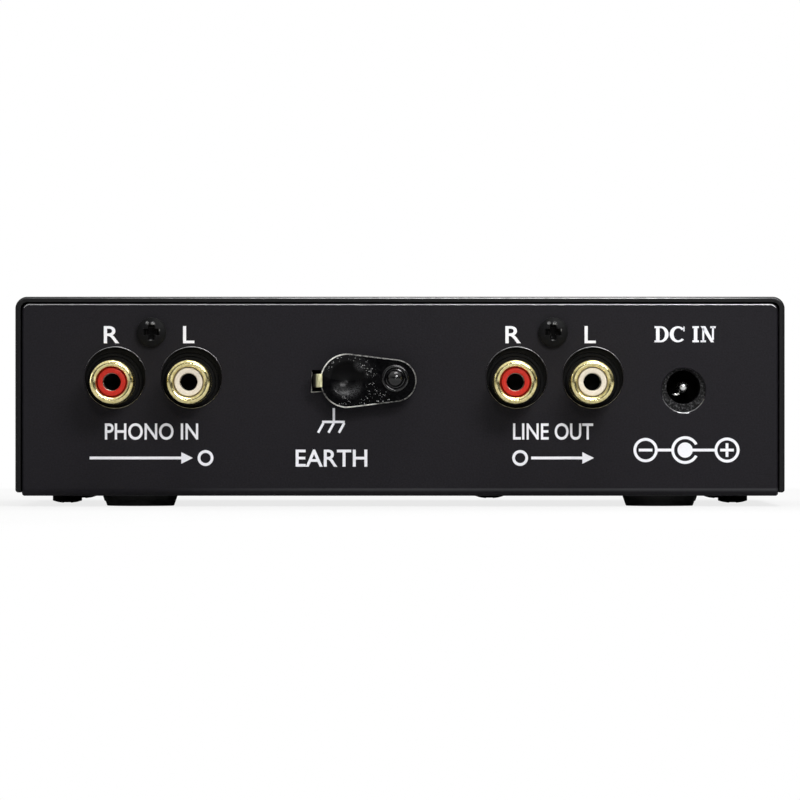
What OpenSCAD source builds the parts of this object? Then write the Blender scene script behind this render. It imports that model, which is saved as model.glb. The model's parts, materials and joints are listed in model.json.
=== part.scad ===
// Phono preamplifier in a folded steel case. At the back it has two pairs of phono
// jacks, a sprung ground clip and a jack for a 12 V adaptor; at the front a level
// control and a power light.
// Millimetres. +Z is up, the front panel faces -Y and the jacks face +Y. The origin
// lies on the surface that the feet stand on, under the middle of the case.

/* [Case] */
// Width over the cover's two sides
case_w = 146; // [122:1:200]
// Depth of the cover, front to back
case_d = 95; // [88:1:140]
// Height of the cover's top above the chassis's underside
case_h = 37.8; // [36.6:0.1:60]
// Thickness of the cover's sheet
cover_t = 1; // [0.8:0.1:1.6]
// Thickness of the chassis's sheet
chassis_t = 1.2; // [0.8:0.1:1.6]
// Gap between the cover and the chassis
fit_gap = 0.2; // [0.1:0.05:0.4]
// Outer radius of the cover's two bends
cover_bend_r = 2.3; // [1.8:0.1:4]
// Outer radius of the chassis's two bends
chassis_bend_r = 1.5; // [1.3:0.1:3]
// How far the end panels sit inside the cover's ends
panel_inset = 0.3; // [0:0.1:2]
// Radius of the end panels' upper corners
panel_corner_r = 1.5; // [0.5:0.1:3]
// Radius of the end panels' lower corners
panel_foot_r = 0.6; // [0.3:0.1:1]
// Height of the cover's lower edges above the chassis's underside
cover_lift = 0.65; // [0:0.05:1]

/* [Feet] */
// Height of a foot
foot_h = 2; // [1.6:0.1:6]
// Radius of a foot where it meets the chassis
foot_r = 7.1; // [4:0.05:9]
// Radius of a foot where it meets the table
foot_tip_r = 6.5; // [3:0.05:8]
// From the case's side to a rear foot's centre
rear_foot_inset = 23.4; // [20:0.1:40]
// From the case's side to a front foot's centre
front_foot_inset = 20.3; // [20:0.1:40]
// From the case's end to a foot's centre
foot_end_inset = 12.5; // [9:0.1:30]

/* [Screws] */
// Radius of the screws' threads
screw_r = 1.5; // [1.25:0.25:1.5]
// Radial clearance round a screw
screw_gap = 0.08; // [0.02:0.01:0.2]
// Radius of the screws' heads
head_r = 2.8; // [2.5:0.05:3]
// Height of the screws' heads
head_h = 1.5; // [1.2:0.1:1.9]
// Length of a screw under its head
screw_len = 6; // [5:1:8]
// From the case's side to a cover screw
cover_screw_side = 9.4; // [7:0.1:14]
// From the case's end to a cover screw
cover_screw_end = 12.3; // [9:0.1:30]

/* [Circuit board] */
// Height of the board's underside above the chassis's floor
board_lift = 10.4; // [8:0.1:12.5]
// Thickness of the board
board_t = 1.6; // [1:0.1:2]
// Gap between the board and the cover's sides
board_side_gap = 8; // [3:0.5:12]
// Gap between the board and the front panel
board_front_gap = 2; // [1:0.1:4]
// Gap between the board and the rear panel
board_rear_gap = 0.4; // [0.2:0.1:1]
// Across the flats of the spacer under the board
spacer_af = 5.5; // [5:0.5:6]
// The spacer's distance from the middle, towards the output side
spacer_x = 17.9; // [10:0.1:25]
// From the front panel to the spacer
spacer_end = 11; // [8:0.1:20]

/* [Phono jacks] */
// Outer radius of a jack's shell
shell_r = 4.15; // [4.1:0.05:4.2]
// Wall of a jack's shell
shell_t = 0.75; // [0.5:0.05:0.9]
// How far the shells stand out of the rear panel
shell_out = 9.8; // [9:0.1:12]
// Radius of the round insulator inside a shell
insulator_r = 2.9; // [2.6:0.05:3]
// Radius of the hole that the plug's pin goes into
pin_hole_r = 1.75; // [1.7:0.05:1.8]
// Inner radius of the contact that grips the pin
contact_r = 1.59; // [1.5:0.01:1.59]
// Distance between the two jacks of a pair
jack_pitch = 14.5; // [14:0.5:18]
// Height of the jacks' axes above the board
jack_rise = 8.4; // [8:0.1:10]
// From the case's side to the middle of the input pair
input_inset = 25.85; // [24:0.05:30]
// From the case's other side to the middle of the output pair
output_inset = 43.95; // [43:0.05:46]
// Radius of the panel's holes round the shells
jack_hole_r = 5.75; // [5.2:0.05:6]
// How far those holes' centres lie above the jacks' axes
jack_hole_up = 0.8; // [0:0.05:0.9]
// How far those holes' centres lie beside the jacks' axes
jack_hole_side = 0.33; // [0:0.01:0.5]
// Height of the fixing screw above the jacks' axes
jack_screw_up = 9.45; // [9:0.05:10]

/* [Power jack] */
// From the case's side to the power jack
power_inset = 19.2; // [18:0.1:22]
// Height of the power jack's axis above the board
power_rise = 7.45; // [6:0.05:9]
// Radius of the socket
socket_r = 3.2; // [2.8:0.05:3.3]
// Radius of the pin in the socket
power_pin_r = 1.05; // [1:0.05:1.25]
// Radius of the panel's hole in front of the socket
power_hole_r = 4.15; // [4:0.05:5]
// How far that hole's centre lies below the socket's axis
power_hole_down = 0.6; // [0:0.05:0.7]

/* [Ground clip] */
// The rivet's distance from the middle, towards the input side
rivet_x = 0.9; // [0:0.1:4]
// Height of the rivet above the chassis's underside
rivet_rise = 22.3; // [18:0.1:24]
// Distance from the rivet to the middle of the finger dish
dish_reach = 9.1; // [8.5:0.1:10]
// Radius of the lever's wide end
lever_wide_r = 5.15; // [5.1:0.05:5.6]
// Radius of the lever's narrow end
lever_narrow_r = 4.05; // [4:0.05:4.5]
// How far the lever's outline hangs below the rivet and the dish
lever_drop = 0.45; // [0:0.05:0.5]
// Thickness of the lever
lever_t = 0.8; // [0.6:0.05:1]
// Gap between the panel and the lever's back
lever_gap = 3.3; // [3:0.1:4]
// Radius of the finger dish
dish_r = 3.2; // [2.8:0.1:3.3]
// Depth of the finger dish
dish_depth = 1.3; // [0.8:0.1:1.4]
// Width of the hook that the wire goes under
hook_w = 2.5; // [2:0.1:3.5]
// Thickness of the clip's brass strip
strip_t = 0.5; // [0.4:0.05:0.6]

/* [Front] */
// From the case's side to the level control's shaft
level_inset = 31; // [28:0.5:36]
// From the case's other side to the power light
light_inset = 23; // [18:0.5:28]
// Height of the shaft and the light above the board
front_rise = 6.8; // [6.5:0.1:9]
// Radius of the knob
knob_r = 8.5; // [8:0.1:10]
// Radius of the control's shaft
shaft_r = 3; // [2.5:0.1:3.2]

/* [Hidden] */
$fn = 64;
eps = 0.01;

base_z = foot_h;
floor_z = base_z + chassis_t;
board_z = floor_z + board_lift;
board_top = board_z + board_t;
case_top = base_z + case_h;
panel_top = case_top - cover_t - fit_gap;
panel_w = case_w - 2 * (cover_t + fit_gap);
panel_d = case_d - 2 * panel_inset;
panel_y = panel_d / 2;
panel_in = panel_y - chassis_t;
cover_low = base_z + cover_lift;
screw_hole_r = screw_r + screw_gap;
tab_w = 12;
nut_wall = 0.9;
nut_h = 2.2;

board_w = case_w - 2 * (cover_t + board_side_gap);
board_front = -panel_in + board_front_gap;
board_rear = panel_in - board_rear_gap;
spacer_y = -panel_in + spacer_end;
board_screw_h = head_h + 0.2;

input_x = case_w / 2 - input_inset;
output_x = -(case_w / 2 - output_inset);
jack_z = board_top + jack_rise;
jack_xs = [input_x - jack_pitch / 2, input_x + jack_pitch / 2,
           output_x - jack_pitch / 2, output_x + jack_pitch / 2];
right_xs = [jack_xs[1], jack_xs[3]];
left_xs = [jack_xs[0], jack_xs[2]];
shell_in_r = shell_r - shell_t;
lip_r = shell_t / 2;
shell_end = panel_y + shell_out;
shell_seat = 4;
collar_r = shell_r + 0.25;
seat_gap = 0.05;
jack_housing_w = jack_pitch + 2 * (jack_hole_r + 0.8);
jack_tower_w = 8.4;
jack_ridge = 0.25;
jack_housing_d = 12;
jack_housing_top = jack_z + jack_screw_up + 3;
jack_housing_back = panel_in - jack_housing_d;
insulator_set = 0.6;
insulator_neck = 2.8;
contact_t = 0.25;
contact_len = 8;
contact_set = 2.2;
contact_end = shell_end - insulator_set - contact_set;
tail_r = 0.6;
tail_gap = 0.08;

power_x = -(case_w / 2 - power_inset);
power_z = board_top + power_rise;
power_housing_w = 9;
power_housing_d = 14.2;
power_housing_top = power_z + 5.2;
socket_depth = 9.8;
power_pin_set = 0.9;
power_tail_r = 0.8;
power_wall = 1.4;
leaf_w = 2.4;
leaf_drop = 0.65;

rivet_z = base_z + rivet_rise;
lever_z = rivet_z - lever_drop;
dish_x = rivet_x + dish_reach;
lever_back = panel_y + lever_gap;
lever_front = lever_back + lever_t;
lever_play = 0.1;
heel_w = 0.85;
heel_gap = 0.05;
rivet_r = 1.5;
rivet_hole_r = 2.1;
rivet_head_r = 2.6;
rivet_head_h = 0.5;
shop_head_r = 2.3;
shop_head_h = 0.7;
shoulder_r = 2.2;
shoulder_h = 2.2;
hook_lap = 0.45;
hook_bend_r = 1;
hook_x = dish_x + lever_wide_r + 0.75;
strip_w = 5;
lug_w = 3;
wire_x = rivet_x + 4.5;
wire_y = panel_in - 4.4;
wire_core_r = 0.45;
slot_end = hook_x + strip_t + 0.3;
slot_w = 3;
slot_h = 4.1;
spring_r = 4.15;
spring_wire_r = 0.3;
spring_turns = 2.5;
spring_steps = 18;
spring_sides = 6;
dish_ball_r = (dish_r * dish_r + dish_depth * dish_depth) / (2 * dish_depth);

channel_x = 16;
pin_pitch = 2.54;

level_x = case_w / 2 - level_inset;
light_x = -(case_w / 2 - light_inset);
front_z = board_top + front_rise;
bushing_r = 3.5;
bushing_out = 3.6;
washer_r = 5.9;
washer_t = 0.5;
nut_af = 10;
nut_t = 2;
thread_gap = 0.05;
shaft_gap = 0.05;
shaft_seat = 4;
press_gap = 0.02;
control_w = 9.8;
control_d = 12.5;
control_top = front_z + 4.9;
knob_end = panel_y + shell_out;
knob_gap = 0.8;
knob_wall = 1.4;
knob_face = 1.6;
light_r = 2.5;
bezel_r = 4;
bezel_sleeve_r = 3.3;

// ---------- helpers ----------

// An outline drawn as (Y, Z), pulled along X
module along_x(length) rotate([90, 0, 90]) linear_extrude(length, center = true) children();

// An outline drawn as (X, Z), pulled along Y
module along_y(length) rotate([90, 0, 0]) linear_extrude(length, center = true) children();

// Turns what is drawn along +Z so that it points backwards, out of the rear panel
module rearward(x, y, z) translate([x, y, z]) rotate([-90, 0, 0]) children();

// Turns what is drawn along +Z so that it points forwards, out of the front panel
module frontward(x, y, z) translate([x, y, z]) rotate([90, 0, 0]) children();

module tube(r_out, r_in, length) difference() {
    cylinder(r = r_out, h = length);
    translate([0, 0, -1]) cylinder(r = r_in, h = length + 2);
}

// A block from low to high, given by its corners
module block(low, high) translate(low) cube(high - low);

// Round cuts right through the rear panel, the front panel and the floor
module rear_hole(x, z, r) rearward(x, panel_in - 1, z) cylinder(r = r, h = chassis_t + 2);
module front_hole(x, z, r) frontward(x, 1 - panel_in, z) cylinder(r = r, h = chassis_t + 2);
module floor_hole(x, y) translate([x, y, base_z - 1]) cylinder(r = screw_hole_r, h = chassis_t + 2);

// A channel's outline, open upwards, with two rounded lower corners
module channel(w, low, high, r) {
    translate([-w / 2, low + r]) square([w, high - low - r]);
    translate([-w / 2 + r, low]) square([w - 2 * r, 2 * r]);
    for (s = [-1, 1]) translate([s * (w / 2 - r), low + r]) circle(r);
}

// A bent sheet's section: a channel with walls of one thickness
module bent_sheet(w, low, high, t, r) difference() {
    channel(w, low, high, r);
    channel(w - 2 * t, low + t, high + 1, max(r - t, 0.2));
}

// A panel's outline with its own radius for the lower and the upper corners
module panel_outline(w, low, high, r_low, r_high) {
    middle = (low + high) / 2;
    translate([-w / 2, low + r_low]) square([w, high - low - r_low - r_high]);
    translate([-w / 2 + r_low, low]) square([w - 2 * r_low, middle - low]);
    translate([-w / 2 + r_high, middle]) square([w - 2 * r_high, high - middle]);
    for (s = [-1, 1]) {
        translate([s * (w / 2 - r_low), low + r_low]) circle(r_low);
        translate([s * (w / 2 - r_high), high - r_high]) circle(r_high);
    }
}

// A pan head screw with a cross recess: its thread runs up +Z from under the head
module pan_screw(length, height = head_h) {
    ball_r = head_r * 1.3;
    recess_w = 0.75;
    difference() {
        union() {
            intersection() {
                translate([0, 0, -height]) cylinder(r = head_r, h = height);
                translate([0, 0, ball_r - height]) sphere(ball_r);
            }
            translate([0, 0, -eps]) cylinder(r = screw_r, h = length + eps);
        }
        for (turn = [0, 90]) rotate(turn)
            translate([-head_r * 0.56, -recess_w / 2, -height - 1]) cube([head_r * 1.12, recess_w, 1.9]);
    }
}

// A round bar bent once, from straight up +Z to straight along +X
module bent_lead(r, up, bend, along) {
    cylinder(r = r, h = up);
    translate([bend, 0, up]) rotate([90, 0, 0]) rotate([0, 0, 90])
        rotate_extrude(angle = 90) translate([bend, 0]) circle(r);
    translate([bend, 0, up + bend]) rotate([0, 90, 0]) cylinder(r = r, h = along);
}

module at_cover_screws() for (sx = [-1, 1], sy = [-1, 1])
    translate([sx * (case_w / 2 - cover_screw_side), sy * (case_d / 2 - cover_screw_end), 0]) children();

// ---------- case ----------

module chassis() color([0.14, 0.14, 0.15]) difference() {
    intersection() {
        along_x(panel_w) bent_sheet(panel_d, base_z, panel_top, chassis_t, chassis_bend_r);
        along_y(panel_d + 2) panel_outline(panel_w, base_z, panel_top, panel_foot_r, panel_corner_r);
    }
    for (x = jack_xs) rear_hole(x - jack_hole_side, jack_z + jack_hole_up, jack_hole_r);
    for (x = [input_x, output_x]) rear_hole(x, jack_z + jack_screw_up, screw_hole_r);
    rear_hole(power_x, power_z - power_hole_down, power_hole_r);
    rear_hole(rivet_x, rivet_z, rivet_r + screw_gap);
    block([slot_end - slot_w, panel_in - 1, lever_z - slot_h / 2],
          [slot_end, panel_y + 1, lever_z + slot_h / 2]);
    front_hole(level_x, front_z, bushing_r + thread_gap);
    front_hole(light_x, front_z, bezel_sleeve_r + thread_gap);
    at_cover_screws() floor_hole(0, 0);
    floor_hole(-spacer_x, spacer_y);
}

// The cover's section: a channel turned upside down, with rounded edges at its foot
module cover_section() {
    translate([0, case_top]) mirror([0, 1])
        bent_sheet(case_w, 0, case_top - cover_low - cover_t / 2, cover_t, cover_bend_r);
    for (s = [-1, 1]) translate([s * (case_w - cover_t) / 2, cover_low + cover_t / 2]) circle(cover_t / 2);
}

// At its foot it has four inward tabs, each with a pressed nut
module top_cover() color([0.12, 0.12, 0.13]) difference() {
    tab_in = cover_screw_side + tab_w / 2;
    union() {
        along_y(case_d) cover_section();
        for (side = [0, 1], sy = [-1, 1]) mirror([side, 0])
            translate([0, sy * (case_d / 2 - cover_screw_end), floor_z])
                block([case_w / 2 - tab_in, -tab_w / 2, 0], [(case_w - cover_t) / 2, tab_w / 2, cover_t]);
        at_cover_screws() translate([0, 0, floor_z]) cylinder(r = screw_hole_r + nut_wall, h = nut_h);
    }
    at_cover_screws() translate([0, 0, floor_z - 1]) cylinder(r = screw_hole_r, h = nut_h + 2);
}

module cover_screws() color([0.1, 0.1, 0.11])
    at_cover_screws() translate([0, 0, base_z]) pan_screw(screw_len - 1);

// A tapered rubber disc with a hollow under its middle
module feet() color([0.07, 0.07, 0.07]) {
    hollow = 0.8;
    edge = 0.25;
    for (sx = [-1, 1], sy = [-1, 1])
        translate([sx * (case_w / 2 - (sy < 0 ? front_foot_inset : rear_foot_inset)),
                sy * (case_d / 2 - foot_end_inset), 0])
            rotate_extrude() polygon([[0, hollow], [foot_tip_r * 0.4, hollow], [foot_tip_r * 0.45, 0],
                [foot_tip_r - edge, 0], [foot_tip_r, edge], [foot_r, foot_h], [0, foot_h]]);
}

// ---------- circuit board ----------

module circuit_board() color([0.1, 0.32, 0.18]) difference() {
    block([-board_w / 2, board_front, board_z], [board_w / 2, board_rear, board_top]);
    translate([-spacer_x, spacer_y, board_z - 1]) cylinder(r = screw_hole_r, h = board_t + 2);
}

module board_spacer() color([0.75, 0.68, 0.4]) difference() {
    translate([-spacer_x, spacer_y, floor_z]) cylinder(d = spacer_af / cos(30), h = board_lift, $fn = 6);
    translate([-spacer_x, spacer_y, floor_z - 1]) cylinder(r = screw_hole_r, h = board_lift + 2);
}

module board_screws() color([0.7, 0.7, 0.72]) translate([-spacer_x, spacer_y, 0]) {
    translate([0, 0, base_z]) pan_screw(screw_len - 1);
    translate([0, 0, board_top]) mirror([0, 0, 1]) pan_screw(screw_len - 1, board_screw_h);
}

// ---------- phono jacks ----------

module jack_housing(x) color([0.08, 0.08, 0.08]) difference() {
    union() {
        block([x - jack_housing_w / 2, jack_housing_back, board_top],
              [x + jack_housing_w / 2, panel_in, jack_z + shell_r + 2.2]);
        block([x - jack_tower_w / 2, jack_housing_back + 2, board_top],
              [x + jack_tower_w / 2, panel_in, jack_housing_top]);
    }
    for (s = [-1, 1]) rearward(x + s * jack_pitch / 2, panel_in - shell_seat, jack_z) {
        cylinder(r = collar_r + seat_gap, h = shell_seat + 1);
        translate([0, 0, -jack_housing_d]) cylinder(r = tail_r + tail_gap, h = jack_housing_d + 1);
        for (r = [collar_r + 0.3, collar_r + 1]) translate([0, 0, shell_seat - 0.3])
            tube(r + jack_ridge, r, 1);
    }
    rearward(x, panel_in - screw_len, jack_z + jack_screw_up) cylinder(r = screw_hole_r, h = screw_len + 1);
}

// A thin metal tube with a rolled lip and a wider collar at its root
module jack_shell() {
    straight = shell_end - lip_r - (panel_in - shell_seat);
    rotate_extrude() {
        translate([shell_in_r, 0]) square([shell_t, straight]);
        translate([shell_in_r + lip_r, straight]) circle(lip_r);
        translate([shell_in_r, 0]) square([collar_r - shell_in_r, shell_seat]);
    }
}

module jack_shells(x) color([0.85, 0.68, 0.3])
    for (s = [-1, 1]) rearward(x + s * jack_pitch / 2, panel_in - shell_seat, jack_z) jack_shell();

// The round plastic core: a wide root in the shell's bore and a narrow neck to the front
module insulator() {
    front = shell_end - insulator_set - (panel_in - shell_seat);
    root_r = shell_in_r - seat_gap;
    root_len = shell_seat + chassis_t + insulator_neck;
    chamber_r = contact_r + contact_t + seat_gap;
    chamber = contact_end - contact_len - (panel_in - shell_seat);
    edge = 0.25;
    rotate_extrude() polygon([[tail_r + tail_gap, 0], [root_r, 0],
        [root_r, root_len], [insulator_r, root_len],
        [insulator_r, front - edge], [insulator_r - edge, front], [pin_hole_r + edge, front],
        [pin_hole_r, front - edge], [pin_hole_r, front - contact_set + seat_gap],
        [chamber_r, front - contact_set + seat_gap], [chamber_r, chamber - seat_gap],
        [tail_r + tail_gap, chamber - seat_gap]]);
}

module insulators(xs) for (x = xs) rearward(x, panel_in - shell_seat, jack_z) insulator();

module right_insulators() color([0.78, 0.16, 0.12]) insulators(right_xs);
module left_insulators() color([0.93, 0.9, 0.84]) insulators(left_xs);

// A slotted tube that grips the plug's pin, with a tail bent down to the board
module centre_contact() {
    root = 1;
    slit = 0.5;
    tube_y = contact_end - contact_len;
    drop_y = jack_housing_back - 1.2;
    rearward(0, tube_y, 0) difference() {
        cylinder(r = contact_r + contact_t, h = contact_len);
        translate([0, 0, root]) cylinder(r = contact_r, h = contact_len);
        translate([-contact_r - 1, -slit / 2, root + 2]) cube([2 * contact_r + 2, slit, contact_len]);
    }
    rearward(0, drop_y, 0) cylinder(r = tail_r, h = tube_y - drop_y + eps);
    block([-tail_r, drop_y - 0.3, -jack_rise], [tail_r, drop_y + 0.3, tail_r]);
}

module centre_contacts() color([0.8, 0.76, 0.62])
    for (x = jack_xs) translate([x, 0, jack_z]) centre_contact();

module jack_screws() color([0.1, 0.1, 0.11])
    for (x = [input_x, output_x]) frontward(x, panel_y, jack_z + jack_screw_up) pan_screw(screw_len);

// ---------- power jack ----------

module power_jack_housing() color([0.09, 0.09, 0.09]) difference() {
    block([power_x - power_housing_w / 2, panel_in - power_housing_d, board_top],
          [power_x + power_housing_w / 2, panel_in, power_housing_top]);
    rearward(power_x, panel_in - socket_depth, power_z) {
        cylinder(r = socket_r, h = socket_depth + 1);
        translate([0, 0, -power_housing_d]) cylinder(r = power_tail_r + seat_gap, h = power_housing_d + 1);
    }
    block([power_x - leaf_w / 2 - 0.2, panel_in - socket_depth, power_z - socket_r - leaf_drop - 0.05],
          [power_x + leaf_w / 2 + 0.2, panel_in - power_wall, power_z]);
}

module power_jack_pin() color([0.8, 0.8, 0.82]) {
    taper = power_pin_r * 0.6;
    root = panel_in - socket_depth;
    tip = panel_in - power_pin_set;
    tail = panel_in - power_housing_d - 0.8;
    rearward(power_x, 0, power_z) {
        translate([0, 0, root]) cylinder(r = power_pin_r, h = tip - root - taper);
        translate([0, 0, tip - taper]) cylinder(r1 = power_pin_r, r2 = power_pin_r / 2, h = taper);
        translate([0, 0, tail - eps]) cylinder(r = power_tail_r, h = root - tail + 2 * eps);
    }
    block([power_x - power_tail_r, tail - 0.5, board_top],
          [power_x + power_tail_r, tail, power_z + power_tail_r]);
}

// The springy leaf that bears on the plug's sleeve, in a groove under the socket
module power_jack_leaf() color([0.75, 0.72, 0.6]) {
    low = power_z - socket_r - leaf_drop;
    block([power_x - leaf_w / 2, panel_in - socket_depth + 0.1, low],
          [power_x + leaf_w / 2, panel_in - power_wall - 0.3, low + 0.3]);
}

// ---------- ground clip ----------

// A strip along the panel's inside that comes out through the slot and hooks over the lever's end
module hook_outline() {
    root_y = panel_in - strip_t;
    top_y = lever_front + lever_play + strip_t;
    bend_x = hook_x + strip_t - hook_bend_r;
    bend_y = top_y - hook_bend_r;
    translate([hook_x, root_y]) square([strip_t, bend_y - root_y]);
    translate([dish_x + lever_wide_r - hook_lap, top_y - strip_t])
        square([bend_x - dish_x - lever_wide_r + hook_lap, strip_t]);
    intersection() {
        translate([bend_x, bend_y]) difference() {
            circle(hook_bend_r);
            circle(hook_bend_r - strip_t);
        }
        translate([bend_x, bend_y]) square(hook_bend_r + 1);
    }
}

module ground_strip() color([0.78, 0.66, 0.32]) {
    lug_x = wire_x - lug_w / 2;
    lug_y = wire_y - 1.6;
    low = lever_z - strip_w / 2;
    difference() {
        union() {
            translate([0, 0, lever_z - hook_w / 2]) linear_extrude(hook_w) hook_outline();
            block([rivet_x - shop_head_r - 0.1, panel_in - strip_t, low],
                  [slot_end - slot_w - 0.4, panel_in, lever_z + strip_w / 2]);
            block([slot_end - slot_w - 0.4 - eps, panel_in - strip_t, lever_z - hook_w / 2],
                  [hook_x + strip_t, panel_in, lever_z + hook_w / 2]);
            block([lug_x, lug_y, low], [lug_x + lug_w, panel_in, low + strip_t]);
        }
        rearward(rivet_x, panel_in - 2, rivet_z) cylinder(r = rivet_r + screw_gap, h = 4);
        translate([wire_x, wire_y, low - 1]) cylinder(r = wire_core_r + 0.15, h = 3);
    }
}

// The lever's outline: two unequal round ends joined by their tangents
module lever_outline() {
    lean = acos((lever_wide_r - lever_narrow_r) / dish_reach);
    function touch(x, r, side) = [x - r * cos(lean), lever_z + side * r * sin(lean)];
    translate([dish_x, lever_z]) circle(lever_wide_r);
    translate([rivet_x, lever_z]) circle(lever_narrow_r);
    polygon([touch(dish_x, lever_wide_r, 1), touch(rivet_x, lever_narrow_r, 1),
             touch(rivet_x, lever_narrow_r, -1), touch(dish_x, lever_wide_r, -1)]);
}

module ground_lever() color([0.13, 0.13, 0.14]) difference() {
    ball_y = lever_front + dish_ball_r - dish_depth;
    union() {
        translate([0, lever_back + lever_t / 2, 0]) along_y(lever_t) lever_outline();
        intersection() {
            translate([dish_x, ball_y, rivet_z]) sphere(dish_ball_r + lever_t);
            block([dish_x - 6, panel_y, rivet_z - 6], [dish_x + 6, lever_back + eps, rivet_z + 6]);
        }
        intersection() {
            translate([0, (panel_y + heel_gap + lever_back) / 2, 0])
                along_y(lever_gap - heel_gap + 2 * eps) lever_outline();
            block([rivet_x - lever_narrow_r - 1, panel_y - 1, lever_z - 2],
                  [rivet_x - lever_narrow_r + heel_w, lever_back + 1, lever_z + 2]);
        }
    }
    translate([dish_x, ball_y, rivet_z]) sphere(dish_ball_r);
    rearward(rivet_x, lever_back - 1, rivet_z) cylinder(r = rivet_hole_r, h = lever_t + 2);
}

module ground_rivet() color([0.12, 0.12, 0.13]) {
    root = panel_in - strip_t - shop_head_h;
    head = lever_front + lever_play;
    dome_r = 1.7;
    rearward(rivet_x, 0, rivet_z) {
        translate([0, 0, root]) cylinder(r = shop_head_r, h = shop_head_h);
        translate([0, 0, root]) cylinder(r = rivet_r, h = head - root + eps);
        translate([0, 0, panel_y]) cylinder(r = shoulder_r, h = shoulder_h);
        translate([0, 0, head]) cylinder(r = rivet_head_r, h = rivet_head_h);
        translate([0, 0, head + rivet_head_h]) intersection() {
            translate([0, 0, -0.7]) sphere(dome_r);
            cylinder(r = dome_r, h = dome_r);
        }
    }
}

// A short coil spring: its points follow the helix, and each ring has spring_sides corners
module ground_spring() color([0.72, 0.72, 0.74]) {
    rings = spring_turns * spring_steps;
    rise = lever_gap - 2 * spring_wire_r - 0.1;
    points = [for (i = [0:rings], k = [0:spring_sides - 1])
        let (turn = 360 * i / spring_steps, side = 360 * k / spring_sides,
             r = spring_r + spring_wire_r * cos(side))
        [r * cos(turn), r * sin(turn), spring_wire_r + 0.05 + rise * i / rings + spring_wire_r * sin(side)]];
    sides = [for (i = [0:rings - 1], k = [0:spring_sides - 1])
        let (a = i * spring_sides, next = (k + 1) % spring_sides)
        [a + k, a + spring_sides + k, a + spring_sides + next, a + next]];
    first = [for (k = [0:spring_sides - 1]) k];
    last = [for (k = [spring_sides - 1:-1:0]) rings * spring_sides + k];
    rearward(dish_x, panel_y, rivet_z) polyhedron(points, concat([first], sides, [last]));
}

// From the board up through the strip's lug
module ground_wire() color([0.1, 0.45, 0.15]) translate([wire_x, wire_y, board_top]) {
    rise = lever_z - strip_w / 2 - board_top;
    cylinder(r = wire_core_r + 0.4, h = rise - 0.8);
    cylinder(r = wire_core_r, h = rise + strip_t + 0.4);
}

// ---------- parts on the board ----------

// One eight-legged chip for each channel
module amplifier_chips() color([0.06, 0.06, 0.06]) {
    body = [9.3, 6.4, 3.3];
    rise = 0.6;
    reach = body[1] / 2;
    leg_w = 0.5;
    leg_t = 0.3;
    knee = 2.2;
    for (s = [-1, 1]) translate([s * channel_x, panel_in - 41, board_top]) {
        difference() {
            translate([-body[0] / 2, -reach, rise]) cube(body);
            translate([-body[0] / 2, 0, body[2]]) cylinder(r = 0.8, h = 1);
        }
        for (i = [-1.5:1.5], turn = [0, 180]) rotate(turn) translate([i * pin_pitch - leg_w / 2, reach, 0]) {
            translate([0, -eps, knee - leg_t]) cube([leg_w, 0.7 + eps, leg_t]);
            translate([0, 0.7 - leg_t, 0]) cube([leg_w, leg_t, knee]);
        }
    }
}

// An upright can with a groove near its foot and a shallow cross on its top
module can_capacitor(r, h) rotate_extrude()
    polygon([[0, 0], [r - 0.3, 0], [r, 0.3], [r, 1.2], [r - 0.35, 1.6], [r, 2],
             [r, h - 0.4], [r - 0.4, h], [r * 0.8, h], [r * 0.78, h - 0.15], [0, h - 0.15]]);

module supply_capacitors() color([0.1, 0.12, 0.3])
    for (back = [24, 36]) translate([power_x, panel_in - back, board_top]) can_capacitor(5, 16);

module signal_capacitors() color([0.12, 0.12, 0.14]) {
    r = 3.15;
    h = 11;
    for (s = [-1, 1], i = [-1:1]) translate([s * channel_x + i * 9, panel_in - 60, board_top])
        can_capacitor(r, h);
    for (s = [-1, 1]) translate([output_x + s * 5, jack_housing_back - 5.2, board_top]) can_capacitor(r, h);
}

module film_capacitors() color([0.72, 0.13, 0.1]) {
    body = [2.6, 7.2, 6.5];
    for (i = [-1.5:1.5]) translate([input_x + i * 4 - body[0] / 2, panel_in - 24 - body[1] / 2, board_top])
        cube(body);
}

// Axial resistors lie above the board on their bent leads
module resistors() color([0.55, 0.7, 0.8]) {
    lead_r = 0.3;
    rise = 1.5;
    half = 5;
    for (s = [-1, 1], i = [-3:3]) translate([s * channel_x + i * 3.5, panel_in - 26, board_top]) {
        translate([0, -3, rise]) rotate([-90, 0, 0]) cylinder(r = 1.05, h = 6);
        for (end = [-1, 1]) translate([0, end * 2.6, rise]) rotate([-90, 0, 0])
            translate([0, 0, -0.7]) cylinder(r = 1.25, h = 1.4);
        for (end = [-1, 1]) translate([0, end * half, 0]) rotate(end * -90)
            bent_lead(lead_r, rise - 0.8, 0.8, half - 0.8 - 3.2);
    }
}

// An upright package: a plate with a hole, a body in front of it and three legs
module voltage_regulator() color([0.08, 0.08, 0.08]) translate([power_x, panel_in - 50, board_top]) {
    half = 5;
    foot = 3;
    difference() {
        block([-half, -0.6, foot], [half, 0.7, 18.5]);
        translate([0, -2, 16]) rotate([-90, 0, 0]) cylinder(r = 1.85, h = 4);
    }
    block([-half, -3.9, foot], [half, eps - 0.6, 12]);
    for (i = [-1:1]) block([i * pin_pitch - 0.4, -2.6, 0], [i * pin_pitch + 0.4, -2.1, foot + eps]);
}

module rectifier_diode() color([0.08, 0.08, 0.08])
    translate([power_x, panel_in - power_housing_d - 3, board_top]) {
        rise = 1.4;
        half = 2.6;
        bend = 0.9;
        translate([-half, 0, rise]) rotate([0, 90, 0]) cylinder(r = 1.35, h = 2 * half);
        for (end = [0, 180]) rotate(end) translate([-2 * half, 0, 0])
            bent_lead(0.4, rise - bend, bend, half - bend + eps);
    }

// ---------- front ----------

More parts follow.
